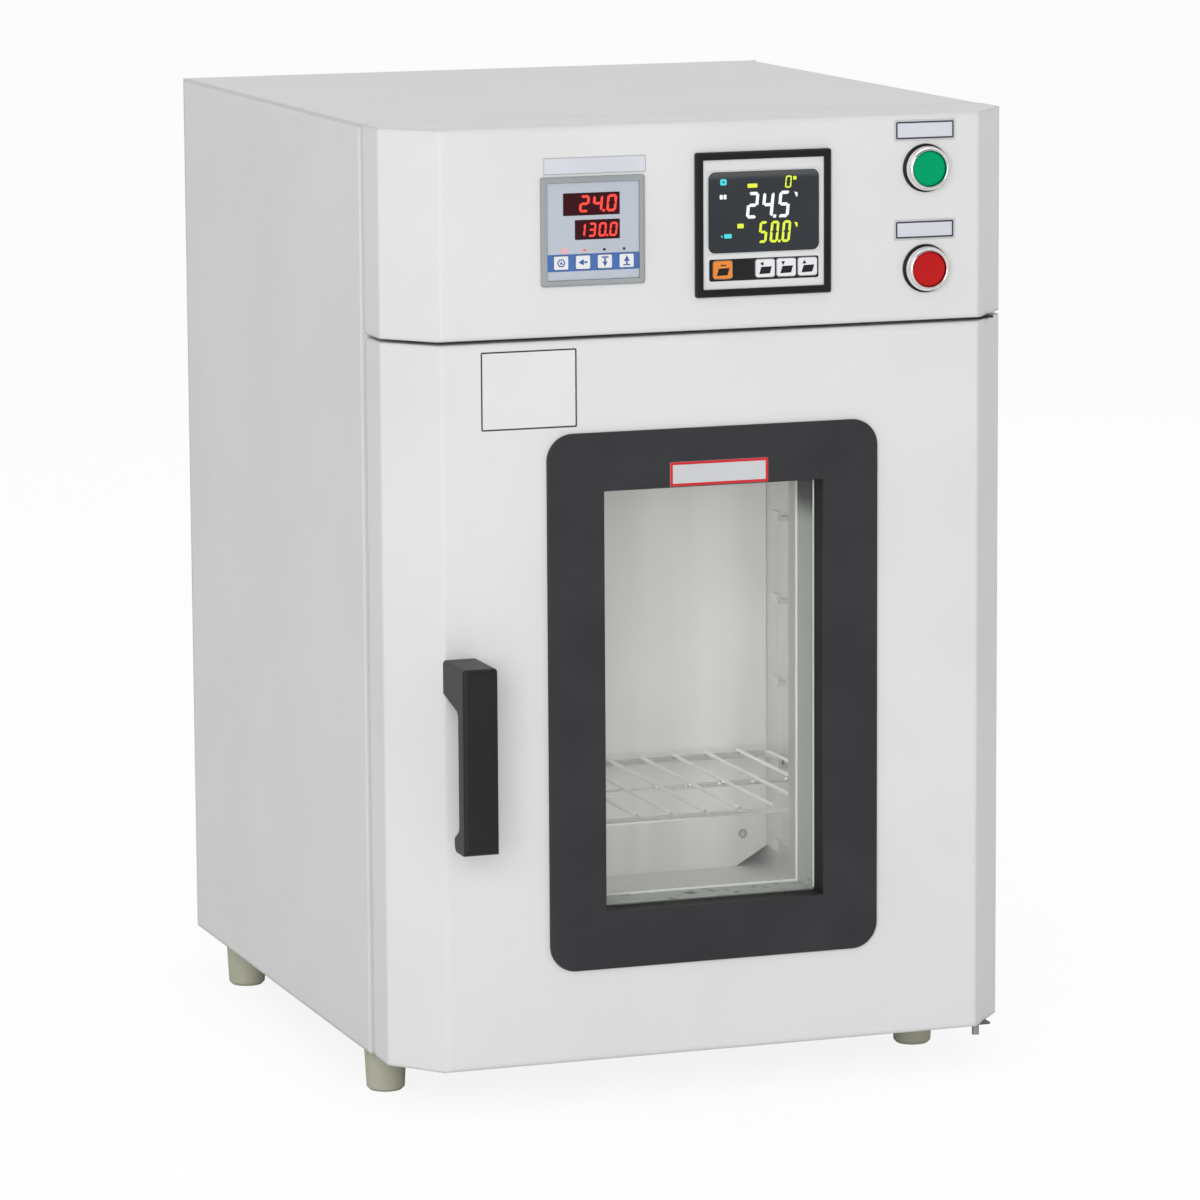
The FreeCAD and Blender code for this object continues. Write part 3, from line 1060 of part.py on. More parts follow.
def door_insulation():
    # wool in the door, cleared round the glazing, the spindle and the pins
    node = body("door_insulation")
    plan = sketch(node, "door_wool_plan", "XY_Plane", f"{base} + dim.front_sheet")
    front_plan(plan, pan_front, pan_front, "dim.front_sheet")
    feature(node, "Pad", "door_wool", plan, f"{door_top} - {base} - 2 * dim.front_sheet")
    window = sketch(node, "door_wool_window", "XZ_Plane", f"-({face} - 1)")
    rounded(window, *window_middle, "dim.window_width + 2 * dim.glass_lap + 2 * dim.glass_room",
            "dim.window_height + 2 * dim.glass_lap + 2 * dim.glass_room", "dim.opening_corner")
    circle(window, "-dim.handle_side", spindle_z, "dim.spindle_bush + 1")
    feature(node, "Pocket", "door_wool_window_cut", window, "dim.front_depth + 2")
    for name, height, flip in (("wool_pin_low", f"{base} - 1", True),
                               ("wool_pin_high", f"{door_top} + 1", False)):
        bush = sketch(node, name, "XY_Plane", height)
        circle(bush, "dim.pin_side", pin_y, "dim.bush_radius + 1")
        feature(node, "Pocket", name + "_room", bush, "dim.pin_reach + 6", flip)


def window_frame():
    # moulded surround: flat rounded border with a collar that runs back to the glass
    node = body("window_frame")
    border = sketch(node, "window_border_outline", "XZ_Plane", f"-{face}")
    rounded(border, *window_middle, "dim.window_width + 2 * dim.window_border",
            "dim.window_height + 2 * dim.window_border", "dim.window_corner")
    feature(node, "Pad", "window_border_plate", border, "dim.bezel_proud")
    rounded_edges(node, "window_border_edge", "dim.bezel_edge", lambda edge: (
        lies_at(edge, "y", f"{face} - dim.bezel_proud")))
    collar = sketch(node, "window_collar", "XZ_Plane", f"-{face}")
    rounded(collar, *window_middle, "dim.window_width + 2 * dim.collar_wall",
            "dim.window_height + 2 * dim.collar_wall", "dim.opening_corner + dim.collar_wall")
    feature(node, "Pad", "window_collar_wall", collar, "dim.collar_depth", True)
    opening = sketch(node, "window_opening", "XZ_Plane", f"-({face} - dim.bezel_proud - 1)")
    rounded(opening, *window_middle, "dim.window_width", "dim.window_height", "dim.opening_corner")
    feature(node, "Pocket", "window_opening_cut", opening, "dim.bezel_proud + dim.collar_depth + 2")


def glazing(node_name, start, depth, lap, hole=False):
    # pane or spacer in the door, all three share one outline
    node = body(node_name)
    pane = sketch(node, node_name + "_outline", "XZ_Plane", f"-{start}")
    rounded(pane, *window_middle, f"dim.window_width + 2 * {lap}", f"dim.window_height + 2 * {lap}",
            "dim.opening_corner")
    feature(node, "Pad", node_name + "_pane", pane, depth, True)
    if hole:
        opening = sketch(node, node_name + "_opening", "XZ_Plane", f"-({start} - 1)")
        rounded(opening, *window_middle, "dim.window_width", "dim.window_height",
                "dim.opening_corner")
        feature(node, "Pocket", node_name + "_opening_cut", opening, f"{depth} + 2")


def door_gasket():
    # silicone seal on the inner skin, just clear of the cabinet face
    node = body("door_gasket")
    middle = f"(dim.chamber_floor + dim.chamber_height / 2)"
    width, height = "(dim.chamber_width + 2 * dim.gasket_lap)", "(dim.chamber_height + 2 * dim.gasket_lap)"
    ring = sketch(node, "gasket_outline", "XZ_Plane", f"-{pan_face}")
    rounded(ring, 0, middle, f"{width} + 2 * dim.gasket_width", f"{height} + 2 * dim.gasket_width",
            "dim.gasket_round")
    rounded(ring, 0, middle, width, height, "dim.gasket_round - dim.gasket_width")
    feature(node, "Pad", "gasket_ring", ring, f"{frame_face} - dim.gasket_rest - {pan_face}", True)
    bevelled_edges(node, "gasket_lips", "dim.gasket_edge", lambda edge: (
        lies_at(edge, "y", f"{frame_face} - dim.gasket_rest")))


def bush_spots():
    return [("low", base), ("high", f"({door_top} - dim.pin_reach)")]


def door_bushes():
    # sleeves for the hinge pins and for the handle spindle
    items = []
    for name, start in bush_spots():
        sleeve = rod(f"pin_bush_{name}", ("dim.pin_side", pin_y, start), "dim.bush_radius",
                     "dim.pin_reach", (0, 0, 1))
        bore = rod(f"pin_bush_bore_{name}", ("dim.pin_side", pin_y, f"{start} - 1"),
                   "dim.pin_radius + dim.pin_fit", "dim.pin_reach + 2", (0, 0, 1))
        items.append(cut(f"pin_bush_{name}_cut", sleeve, [bore]))
    for start in (face, f"({pan_face} - dim.bush_length)"):
        sleeve = rod("spindle_sleeve", ("-dim.handle_side", start, spindle_z), "dim.spindle_bush",
                     "dim.bush_length")
        bore = rod("spindle_sleeve_bore", ("-dim.handle_side", f"{start} - 1", spindle_z),
                   "dim.spindle_radius + dim.spindle_fit", "dim.bush_length + 2")
        items.append(cut("spindle_sleeve_cut", sleeve, [bore]))
    keep("door_bushes", group("bushes", items))


def door_handle():
    # hanging lever: deep block at the top, slim bar, small hook for the finger at the foot
    node = body("door_handle")
    near = f"({face} - dim.handle_gap)"
    far = f"({face} - dim.handle_reach)"
    bar = f"({far} + dim.handle_bar)"
    hook = f"({far} + dim.handle_hook)"
    low = "(dim.handle_top - dim.handle_length)"
    under = "(dim.handle_top - dim.handle_block)"
    profile = sketch(node, "handle_profile", "YZ_Plane", "-dim.handle_side - dim.handle_width / 2")
    outline(profile, [(near, "dim.handle_top"), (near, under), (bar, f"{under} - dim.handle_slope"),
                      (bar, f"{low} + dim.handle_foot + 3"), (hook, f"{low} + dim.handle_foot - 3"),
                      (hook, low), (far, low), (far, "dim.handle_top")])
    feature(node, "Pad", "handle_block_pad", profile, "dim.handle_width")
    rounded_edges(node, "handle_sweeps", "dim.handle_sweep", lambda edge: (
        runs_along(edge, "x") and lies_at(edge, "y", bar)) or (
        runs_along(edge, "x") and lies_at(edge, "y", hook) and lies_at(edge, "z", low)))
    rounded_edges(node, "handle_softening", "dim.handle_round", lambda edge: (
        runs_along(edge, "z") and lies_at(edge, "y", far)) or (
        runs_along(edge, "x") and lies_at(edge, "y", far)) or (
        runs_along(edge, "y") and lies_at(edge, "z", "dim.handle_top")))
    bore = sketch(node, "handle_bore", "XZ_Plane", f"-({near} + 1)")
    circle(bore, "-dim.handle_side", spindle_z, "dim.spindle_radius + 0.02")
    feature(node, "Pocket", "handle_bore_cut", bore, "dim.spindle_depth + 1", True)


def handle_spindle():
    start = f"({face} - dim.handle_gap - dim.spindle_depth)"
    neck = rod("spindle", ("-dim.handle_side", start, spindle_z), "dim.spindle_radius",
               f"{latch_face} - {start}")
    keep("handle_spindle", neck)


def latch_bar():
    # quarter-turn bar behind the cabinet face: upright it passes the slot, level it locks
    node = body("latch_bar")
    bar = sketch(node, "latch_outline", "XZ_Plane", f"-{latch_face}")
    rounded(bar, "-dim.handle_side", spindle_z, "dim.latch_width", "dim.latch_length", "2")
    feature(node, "Pad", "latch_plate", bar, "dim.latch_thick", True)


def striker_plate():
    start = f"({frame_face} - dim.striker_sheet)"
    blank = box("striker_blank", ("-dim.handle_side - dim.striker_width / 2 - dim.striker_shift", start,
                                  f"{spindle_z} - dim.striker_height / 2"),
                ("dim.striker_width", "dim.striker_sheet", "dim.striker_height"))
    slot = latch_slot("striker_slot", start, "dim.striker_sheet")
    keep("striker_plate", cut("striker_cut", blank, [slot]))


# Hinges

def hinge_brackets():
    # angle brackets on the cabinet face, one under the door and one over it
    brackets = []
    left = "(dim.pin_side - dim.hinge_width / 2)"
    nose = f"({pin_y} - dim.hinge_nose)"
    leaf_y = f"({frame_face} - dim.hinge_plate)"
    low_plate = f"({base} - dim.hinge_gap - dim.hinge_plate)"
    high_plate = f"({door_top} + dim.hinge_gap)"
    hanging = f"({high_plate} + dim.hinge_plate - dim.hinge_leaf)"
    for name, plate_z, leaf_z in (("low", low_plate, low_plate), ("high", high_plate, hanging)):
        plate = box(f"hinge_plate_{name}", (left, nose, plate_z),
                    ("dim.hinge_width", f"{frame_face} - {nose}", "dim.hinge_plate"))
        leaf = box(f"hinge_leaf_{name}", (left, leaf_y, leaf_z),
                   ("dim.hinge_width", "dim.hinge_plate", "dim.hinge_leaf"))
        hole = rod(f"hinge_hole_{name}", ("dim.pin_side", pin_y, f"{plate_z} - 1"), "dim.pin_radius + 0.02",
                   "dim.hinge_plate + 2", (0, 0, 1))
        brackets.append(cut(f"hinge_{name}", fuse(f"hinge_solid_{name}", [plate, leaf]), [hole]))
    keep("hinge_brackets", group("hinges", brackets))


def hinge_pins():
    foot = f"{base} - dim.hinge_gap - dim.hinge_plate - dim.pin_tail"
    low = rod("pin_low", ("dim.pin_side", pin_y, foot),
              "dim.pin_radius", f"dim.pin_tail + dim.hinge_plate + dim.hinge_gap + dim.pin_reach", (0, 0, 1))
    high = rod("pin_high", ("dim.pin_side", pin_y, f"{door_top} - dim.pin_reach"), "dim.pin_radius",
               "dim.pin_reach + dim.hinge_gap + dim.hinge_plate", (0, 0, 1))
    keep("hinge_pins", group("pins", [low, high]))


# Build every sub-part

for make in (outer_casing, rear_panel, base_plate, front_frame, rubber_feet, casing_screws,
             chamber_liner, insulation, air_baffle, shelf_racks, wire_shelf,
             fan_impeller, motor_shaft, fan_motor, motor_bulkhead, heater_element,
             vent_tube, vent_damper, cable_gland, temperature_probes,
             head_shell, electrics_tray, contactor, solid_state_relay, terminal_block,
             main_controller, limit_controller, door_shell, door_inner_panel, door_insulation,
             window_frame, door_gasket, door_bushes, door_handle, handle_spindle, latch_bar,
             striker_plate, hinge_brackets, hinge_pins):
    make()
glazing("outer_glass", outer_glass_face, "dim.glass_thick", "dim.glass_lap")
glazing("glass_spacer", outer_glass_back, "dim.pane_gap", "dim.glass_lap", hole=True)
glazing("inner_glass", inner_glass_face, "dim.glass_thick", "dim.glass_lap")
push_button("start_button", "dim.start_height")
push_button("stop_button", "dim.stop_height")
doc.recompute()

# Check and write
faults = [f"{item.Label} {item.State}" for item in doc.Objects
          if any(word in item.State for word in ("Invalid", "Error"))]
if not faults:
    faults = [f"{item.Label} removed nothing" for item, before in cuts
              if item.Shape.Volume >= before.Shape.Volume - 1e-6]
    faults += [f"{node} has no valid solid" for node, item in parts.items()
               if item.Shape.isNull() or not item.Shape.isValid() or item.Shape.Volume <= 0]
if faults:
    raise RuntimeError("; ".join(faults))
for node, item in parts.items():
    item.Shape.exportStep(f"parts/{node}.step")
print(len(parts), "sub-parts written")
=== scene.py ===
import bpy
import math
from mathutils import Matrix, Vector


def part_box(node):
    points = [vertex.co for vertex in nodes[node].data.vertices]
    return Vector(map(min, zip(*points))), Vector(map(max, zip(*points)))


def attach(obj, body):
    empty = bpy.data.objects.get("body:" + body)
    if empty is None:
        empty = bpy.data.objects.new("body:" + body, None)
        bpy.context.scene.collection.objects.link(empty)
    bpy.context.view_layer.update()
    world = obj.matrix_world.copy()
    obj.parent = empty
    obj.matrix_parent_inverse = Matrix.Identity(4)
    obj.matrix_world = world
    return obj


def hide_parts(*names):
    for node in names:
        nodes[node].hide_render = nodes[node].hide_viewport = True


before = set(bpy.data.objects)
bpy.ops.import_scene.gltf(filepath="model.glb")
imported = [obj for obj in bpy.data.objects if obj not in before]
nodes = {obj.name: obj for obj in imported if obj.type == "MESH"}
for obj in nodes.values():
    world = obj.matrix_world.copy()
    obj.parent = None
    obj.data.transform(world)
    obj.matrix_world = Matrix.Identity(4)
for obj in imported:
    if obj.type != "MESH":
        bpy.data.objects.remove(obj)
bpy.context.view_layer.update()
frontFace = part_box("door_shell")[0].y  # plane of the door and head fronts
print("frame loaded,", len(nodes), "nodes")


def newObject(name, data):
    made = bpy.data.objects.new(name, data)
    bpy.context.scene.collection.objects.link(made)
    return made


def smoothMesh(name, spots, faces):
    mesh = bpy.data.meshes.new(name)
    mesh.from_pydata(spots, [], faces)
    mesh.shade_smooth()
    return mesh


# Shader wiring

class Wire:
    # one shader value; Python operators add the nodes
    def __init__(self, tree, socket=None):
        self.tree = tree
        self.socket = socket

    def feed(self, target, item):
        if isinstance(item, Wire):
            self.tree.links.new(item.socket, target)
        else:
            target.default_value = item

    def node(self, kind, settings=None, sockets=None, output=0):
        made = self.tree.nodes.new(kind)
        for key, item in (settings or {}).items():
            setattr(made, key, item)
        for key, item in (sockets or {}).items():
            self.feed(made.inputs[key], item)
        return Wire(self.tree, made.outputs[output])

    def maths(self, operation, *items):
        return self.node("ShaderNodeMath", {"operation": operation}, dict(enumerate(items)))

    def __add__(self, other):
        return self.maths("ADD", self, other)

    def __radd__(self, other):
        return self.maths("ADD", other, self)

    def __sub__(self, other):
        return self.maths("SUBTRACT", self, other)

    def __rsub__(self, other):
        return self.maths("SUBTRACT", other, self)

    def __mul__(self, other):
        return self.maths("MULTIPLY", self, other)

    def __rmul__(self, other):
        return self.maths("MULTIPLY", other, self)

    def between(self, low, high):
        # smooth 0 to 1 as the value goes from low to high
        return self.node("ShaderNodeMapRange", {"interpolation_type": "SMOOTHSTEP"},
                         {0: self, 1: low, 2: high, 3: 0.0, 4: 1.0})

    def blend(self, dark, light):
        # colour mix with this value as the factor
        return self.node("ShaderNodeMix", {"data_type": "RGBA"},
                         {0: self, 6: colour(dark), 7: colour(light)}, 2)

    def place(self, scale=(1, 1, 1)):
        # object coordinates in metres, stretched
        spot = self.node("ShaderNodeTexCoord", output="Object")
        return self.node("ShaderNodeMapping", {}, {"Vector": spot, "Scale": scale})

    def along(self, axis):
        # one object coordinate in metres
        spot = self.node("ShaderNodeTexCoord", output="Object")
        return self.node("ShaderNodeSeparateXYZ", {}, {0: spot}, axis)

    def noise(self, scale, detail=2.0, rough=0.5, stretch=(1, 1, 1)):
        return self.node("ShaderNodeTexNoise", {}, {"Vector": self.place(stretch), "Scale": scale,
                                                    "Detail": detail, "Roughness": rough})

    def end(self, kind, shader):
        # the tree's output node
        self.feed(self.tree.nodes.new(kind).inputs["Surface"], shader)


def colour(shade):
    # pads a plain colour to four numbers
    return shade if isinstance(shade, Wire) or len(shade) == 4 else (*shade, 1)


def emptied(owner):
    # wire in the cleared node tree of a material or world
    owner.use_nodes = True
    owner.node_tree.nodes.clear()
    return Wire(owner.node_tree)


def finish(name, recipe):
    # material from a recipe that gives the shader's sockets, with optional relief and softened edges
    made = bpy.data.materials.new(name)
    wire = emptied(made)
    sockets = recipe(wire)
    relief = {}
    if "height" in sockets:
        relief = {"Height": sockets.pop("height"), "Distance": sockets.pop("depth")}
    if "soft" in sockets:
        relief["Normal"] = wire.node("ShaderNodeBevel", {"samples": 6}, {"Radius": sockets.pop("soft")})
    if relief:
        sockets["Normal"] = wire.node("ShaderNodeBump", {}, relief)
    sockets["Base Color"] = colour(sockets["Base Color"])
    wire.end("ShaderNodeOutputMaterial", wire.node("ShaderNodeBsdfPrincipled", {}, sockets))
    return made


# Finishes of the oven's own materials

band = (0.3, 0.7)  # part of a noise over which a colour goes from dark to light


def shades(shade, spread):
    # a darker and a lighter variant of one colour
    dark = tuple(part * (1 - spread) for part in shade)
    light = tuple(min(1, part * (1 + spread)) for part in shade)
    return dark, light


paint = {"low": (0.690, 0.690, 0.688), "high": (0.715, 0.715, 0.713), "rough": 0.38, "roughSpread": 0.06,
         "peelScale": 900.0, "peelDepth": 0.000012, "cloudScale": 9.0, "bend": 0.0036}


def powderCoat(wire):
    # smooth light grey coat with a faint orange peel
    peel = wire.noise(paint["peelScale"], 2.0, 0.55)
    cloud = wire.noise(paint["cloudScale"], 3.0)
    return {"Base Color": cloud.between(*band).blend(paint["low"], paint["high"]),
            "Roughness": cloud * paint["roughSpread"] + paint["rough"], "Specular IOR Level": 0.4,
            "height": peel, "depth": paint["peelDepth"], "soft": paint["bend"]}


paintFinish = finish("powder_coat", powderCoat)
grinding = {"marks": 0.85, "cloud": 0.15, "cloudScale": 14.0, "roughSpread": 0.12, "depth": 0.00002}


def brushed(shade, rough, stretch, grain, metal=1.0):
    # metal sheet with fine parallel grinding marks
    def recipe(wire):
        marks = wire.noise(1.0, 3.0, 0.6, stretch)
        cloud = wire.noise(grinding["cloudScale"], 3.0)
        tone = marks * grinding["marks"] + cloud * grinding["cloud"]
        return {"Base Color": tone.between(*band).blend(*shades(shade, grain)), "Metallic": metal,
                "Roughness": tone * grinding["roughSpread"] + rough, "height": marks,
                "depth": grinding["depth"]}
    return recipe


def banded(recipe, axis, span, other):
    # recipe whose colour goes over to another one across a span of one object coordinate
    def mixed(wire):
        sockets = recipe(wire)
        sockets["Base Color"] = wire.along(axis).between(*span).blend(sockets["Base Color"], other)
        return sockets
    return mixed


linerFinish = finish("stainless_liner", brushed((0.74, 0.74, 0.72), 0.36, (160, 160, 6), 0.05, 0.45))
baffleFinish = finish("stainless_baffle", brushed((0.83, 0.83, 0.81), 0.34, (15, 5, 1.0), 0.13, 0.30))
wallFinish = finish("stainless_wall", brushed((0.74, 0.73, 0.70), 0.28, (60, 2400, 60), 0.08, 0.8))
zincFinish = finish("zinc_steel", brushed((0.60, 0.61, 0.63), 0.36, (300, 300, 300), 0.16))

# zinc bracket, with painted shade near black where the upper one sits in the gap
hinge = {"gap": (0.30, 0.40), "paintedGapShade": (0.02, 0.02, 0.02)}
hingeSteel = brushed((0.13, 0.14, 0.15), 0.42, (400, 60, 400), 0.10, 0.5)
hingeFinish = finish("hinge_steel", banded(hingeSteel, "Z", hinge["gap"], hinge["paintedGapShade"]))
pinFinish = finish("hinge_pin", brushed((0.40, 0.38, 0.36), 0.42, (500, 500, 80), 0.12, 0.6))
rodFinish = finish("bright_rod", brushed((0.84, 0.84, 0.82), 0.20, (900, 900, 900), 0.04, 0.8))
castFinish = finish("cast_aluminium", brushed((0.68, 0.69, 0.70), 0.40, (500, 500, 500), 0.10))
chromeFinish = finish("chrome_ring", brushed((0.90, 0.89, 0.88), 0.0, (150, 150, 150), 0.05))
bronzeFinish = finish("bronze_bush", brushed((0.62, 0.42, 0.20), 0.34, (600, 600, 600), 0.12))

moulding = {"cloudScale": 22.0, "roughSpread": 0.10}


def moulded(shade, rough, scale=1800.0, depth=0.00003, spread=0.10, gloss=0.3, bend=0.0006):
    # plastic with a fine moulded grain and softened edges
    def recipe(wire):
        grain = wire.noise(scale, 2.0, 0.6)
        cloud = wire.noise(moulding["cloudScale"], 2.0)
        return {"Base Color": cloud.between(*band).blend(*shades(shade, spread)),
                "Specular IOR Level": gloss, "Roughness": grain * moulding["roughSpread"] + rough,
                "height": grain, "depth": depth, "soft": bend}
    return recipe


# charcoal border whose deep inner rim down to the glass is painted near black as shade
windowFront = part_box("window_frame")[0].y
paintedTunnelShade = {"span": (windowFront + 0.0015, windowFront + 0.0035), "shade": (0.0025, 0.0025, 0.003)}
charcoal = moulded((0.030, 0.031, 0.034), 0.46, gloss=0.25)
charcoalFinish = finish("charcoal_moulding", banded(charcoal, "Y", paintedTunnelShade["span"], paintedTunnelShade["shade"]))
blackFinish = finish("black_moulding", moulded((0.0105, 0.0112, 0.0125), 0.38, gloss=0.30, bend=0.0018))
rimFinish = finish("controller_rim", moulded((0.010, 0.010, 0.011), 0.34, 2600.0, gloss=0.25))
silverFinish = finish("silver_face", moulded((0.69, 0.69, 0.69), 0.40, 3000.0, 0.00001, 0.02))

# dark lens window with a paler band along its top, which is a painted reflection
paintedLensSheen = {"span": (0.6185, 0.6225), "pale": (0.085, 0.089, 0.094)}
darkWindow = moulded((0.036, 0.041, 0.047), 0.30, 900.0, 0.000002, 0.06, 0.12)
displayFinish = finish("dark_display", banded(darkWindow, "Z", paintedLensSheen["span"], paintedLensSheen["pale"]))
ledFinish = finish("led_window", moulded((0.040, 0.005, 0.009), 0.26, 900.0, 0.000002, 0.08, 0.15))
greyFinish = finish("grey_rim", moulded((0.31, 0.33, 0.345), 0.40, spread=0.05))
blueFaceFinish = finish("blue_grey_face", moulded((0.46, 0.50, 0.56), 0.40, 3000.0, 0.00001, 0.03))
blueStripFinish = finish("blue_strip", moulded((0.055, 0.15, 0.42), 0.40, 3000.0, 0.00001, 0.04))
whiteKeyFinish = finish("white_key", moulded((0.74, 0.75, 0.77), 0.40, 2200.0, 0.00001, 0.03))
orangeKeyFinish = finish("orange_key", moulded((0.80, 0.25, 0.042), 0.40, 2200.0, 0.00001, 0.04))
greenCapFinish = finish("green_cap", moulded((0.0, 0.315, 0.125), 0.30, 1500.0, 0.00001, 0.05, 0.06))
redCapFinish = finish("red_cap", moulded((0.47, 0.012, 0.013), 0.30, 1500.0, 0.00001, 0.05, 0.08))
rubberFinish = finish("foot_rubber", moulded((0.43, 0.43, 0.335), 0.60, 900.0, 0.00008, 0.12))
siliconeFinish = finish("silicone_seal", moulded((0.42, 0.41, 0.39), 0.58, 1200.0, 0.00005, 0.06))

spacerDepth = [corner.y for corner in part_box("glass_spacer")]
paneGap = (spacerDepth[0] + 0.002, spacerDepth[1] - 0.003)
stain = {"height": (0.1330, 0.1350), "shade": (0.16, 0.17, 0.16)}


def sealingBead(wire):
    # white bead, stained along the foot of the pane
    sockets = moulded((0.80, 0.81, 0.79), 0.35, 1200.0, 0.00003, 0.04)(wire)
    higher = wire.along("Z").between(*stain["height"])
    clean = wire.maths("MAXIMUM", higher, wire.along("Y").between(*paneGap))
    sockets["Base Color"] = clean.blend(stain["shade"], sockets["Base Color"])
    return sockets


beadFinish = finish("sealing_bead", sealingBead)
beigeFinish = finish("terminal_plastic", moulded((0.55, 0.50, 0.38), 0.50))
motorFinish = finish("motor_enamel", moulded((0.05, 0.055, 0.06), 0.40, 700.0, 0.00006, 0.15))
markFinish = finish("black_mark", moulded((0.018, 0.018, 0.020), 0.50, 3000.0, 0.000005, gloss=0.15))
slateFinish = finish("slate_line", moulded((0.032, 0.036, 0.050), 0.50, 3000.0, 0.000005))
blueMarkFinish = finish("blue_mark", moulded((0.035, 0.11, 0.38), 0.50, 3000.0, 0.000005))
labelFinish = finish("bare_label", moulded((0.53, 0.53, 0.54), 0.34, 2600.0, 0.00001, 0.02))
plateFinish = finish("bare_plate", moulded((0.72, 0.72, 0.73), 0.34, 2600.0, 0.00001, 0.02))
blueLabelFinish = finish("blue_label", moulded((0.62, 0.64, 0.69), 0.32, 2600.0, 0.00001, 0.03))
stripFinish = finish("bare_strip", moulded((0.56, 0.57, 0.59), 0.34, 2600.0, 0.00001, 0.02))
redMarkFinish = finish("red_border", moulded((0.58, 0.025, 0.03), 0.40, 3000.0, 0.000005, gloss=0.15))

wool = {"dark": (0.30, 0.26, 0.16), "light": (0.62, 0.57, 0.42), "rough": 0.85, "depth": 0.001}


def mineralWool(wire):
    # matted fibres of varied tone, the hollows made darker as painted shade
    fibres = wire.noise(240.0, 6.0, 0.75, (1, 1, 3))
    return {"Base Color": fibres.between(*band).blend(wool["dark"], wool["light"]),
            "Roughness": fibres * 0.1 + wool["rough"], "height": fibres, "depth": wool["depth"]}


woolFinish = finish("mineral_wool", mineralWool)
spacerSmearsAndShadow = {"pale": (0.50, 0.54, 0.49), "smeared": (0.10, 0.11, 0.10), "dark": (0.02, 0.022, 0.022),
          "foot": (0.150, 0.140), "smear": (0.55, 0.68), "top": (0.380, 0.402), "rough": 0.35,
          "depth": 0.0002}


def spacerSealantAndShadow(wire):
    # pale grey-green band between the panes, real sealant smears at its foot, painted shadow dark under its
    # upper edge
    smear = wire.noise(110.0, 5.0, 0.7, (1, 1, 1.6))
    height = wire.along("Z")
    foot = height.between(*spacerSmearsAndShadow["foot"]) * smear.between(*spacerSmearsAndShadow["smear"])
    shade = foot.blend(spacerSmearsAndShadow["pale"], spacerSmearsAndShadow["smeared"])
    # the top of the band is painted dark as the upper frame's shadow
    return {"Base Color": height.between(*spacerSmearsAndShadow["top"]).blend(shade, spacerSmearsAndShadow["dark"]),
            "Roughness": smear * 0.3 + spacerSmearsAndShadow["rough"], "height": smear, "depth": spacerSmearsAndShadow["depth"]}


spacerFinish = finish("spacer_sealant_and_shadow", spacerSealantAndShadow)
glass = {"shade": (0.74, 0.78, 0.76), "facing": 0.25, "clear": 0.03, "slanted": 0.22, "rough": 0.02}


def clearGlass(wire):
    # thin clear pane, a little more solid at a slant
    slant = wire.node("ShaderNodeLayerWeight", {}, {"Blend": glass["facing"]}, "Facing")
    haze = wire.noise(30.0, 3.0)
    return {"Base Color": glass["shade"], "Roughness": haze * 0.03 + glass["rough"],
            "Alpha": slant * glass["slanted"] + glass["clear"], "Specular IOR Level": 0.5}


glassFinish = finish("clear_glass", clearGlass)
lit = {"dim": 0.88, "body": 0.3}


def glowing(shade, strength):
    # lit display mark
    def recipe(wire):
        flicker = wire.noise(700.0, 1.0)
        tone = flicker.between(0.2, 0.8).blend(tuple(part * lit["dim"] for part in shade), shade)
        return {"Base Color": tuple(part * lit["body"] for part in shade), "Roughness": 0.5,
                "Specular IOR Level": 0.1, "Emission Color": tone, "Emission Strength": strength}
    return recipe


whiteGlow = finish("white_digits", glowing((0.84, 0.89, 0.93), 0.95))
yellowGlow = finish("yellow_digits", glowing((0.70, 0.82, 0.06), 0.92))
cyanGlow = finish("cyan_mark", glowing((0.08, 0.66, 0.72), 0.85))
redGlow = finish("red_segments", glowing((1.0, 0.075, 0.055), 1.0))
pinkGlow = finish("pink_lamp", glowing((0.95, 0.33, 0.40), 1.0))
print("finishes made")


# The solids that carry over, with their finishes

nodeFinish = {
    "outer_casing": paintFinish, "rear_panel": paintFinish, "head_shell": paintFinish,
    "door_shell": paintFinish, "base_plate": zincFinish, "front_frame": wallFinish,
    "rubber_feet": rubberFinish, "casing_screws": zincFinish, "chamber_liner": linerFinish,
    "insulation": woolFinish, "air_baffle": baffleFinish, "shelf_racks": wallFinish,
    "wire_shelf": rodFinish, "fan_motor": motorFinish, "motor_bulkhead": zincFinish,
    "heater_element": rodFinish, "vent_tube": wallFinish, "vent_damper": wallFinish,
    "cable_gland": blackFinish, "temperature_probes": rodFinish, "electrics_tray": zincFinish,
    "contactor": blackFinish, "solid_state_relay": castFinish, "terminal_block": beigeFinish,
    "main_controller_case": rimFinish, "main_controller_face": silverFinish,
    "main_controller_lens": displayFinish, "limit_controller_case": greyFinish,
    "limit_controller_face": blueFaceFinish, "start_button_bezel": chromeFinish,
    "start_button_block": blackFinish, "stop_button_bezel": chromeFinish,
    "stop_button_block": blackFinish, "striker_plate": wallFinish, "hinge_brackets": hingeFinish,
    "hinge_pins": pinFinish, "fan_impeller": castFinish, "motor_shaft": rodFinish,
    "door_inner_panel": wallFinish, "door_insulation": woolFinish, "door_gasket": siliconeFinish,
    "window_frame": charcoalFinish, "outer_glass": glassFinish, "inner_glass": glassFinish,
    "glass_spacer": spacerFinish, "door_bushes": bronzeFinish, "door_handle": blackFinish,
    "handle_spindle": rodFinish, "latch_bar": zincFinish, "start_button_cap": greenCapFinish,
    "stop_button_cap": redCapFinish, "main_key_1": orangeKeyFinish, "main_key_2": whiteKeyFinish,
    "main_key_3": whiteKeyFinish, "main_key_4": whiteKeyFinish, "limit_key_1": whiteKeyFinish,
    "limit_key_2": whiteKeyFinish, "limit_key_3": whiteKeyFinish, "limit_key_4": whiteKeyFinish,
}
for name, material in nodeFinish.items():
    nodes[name].data.materials.clear()
    nodes[name].data.materials.append(material)
print("carried-over solids dressed")


# Flat pieces that lie on a front

cornerSteps = 6


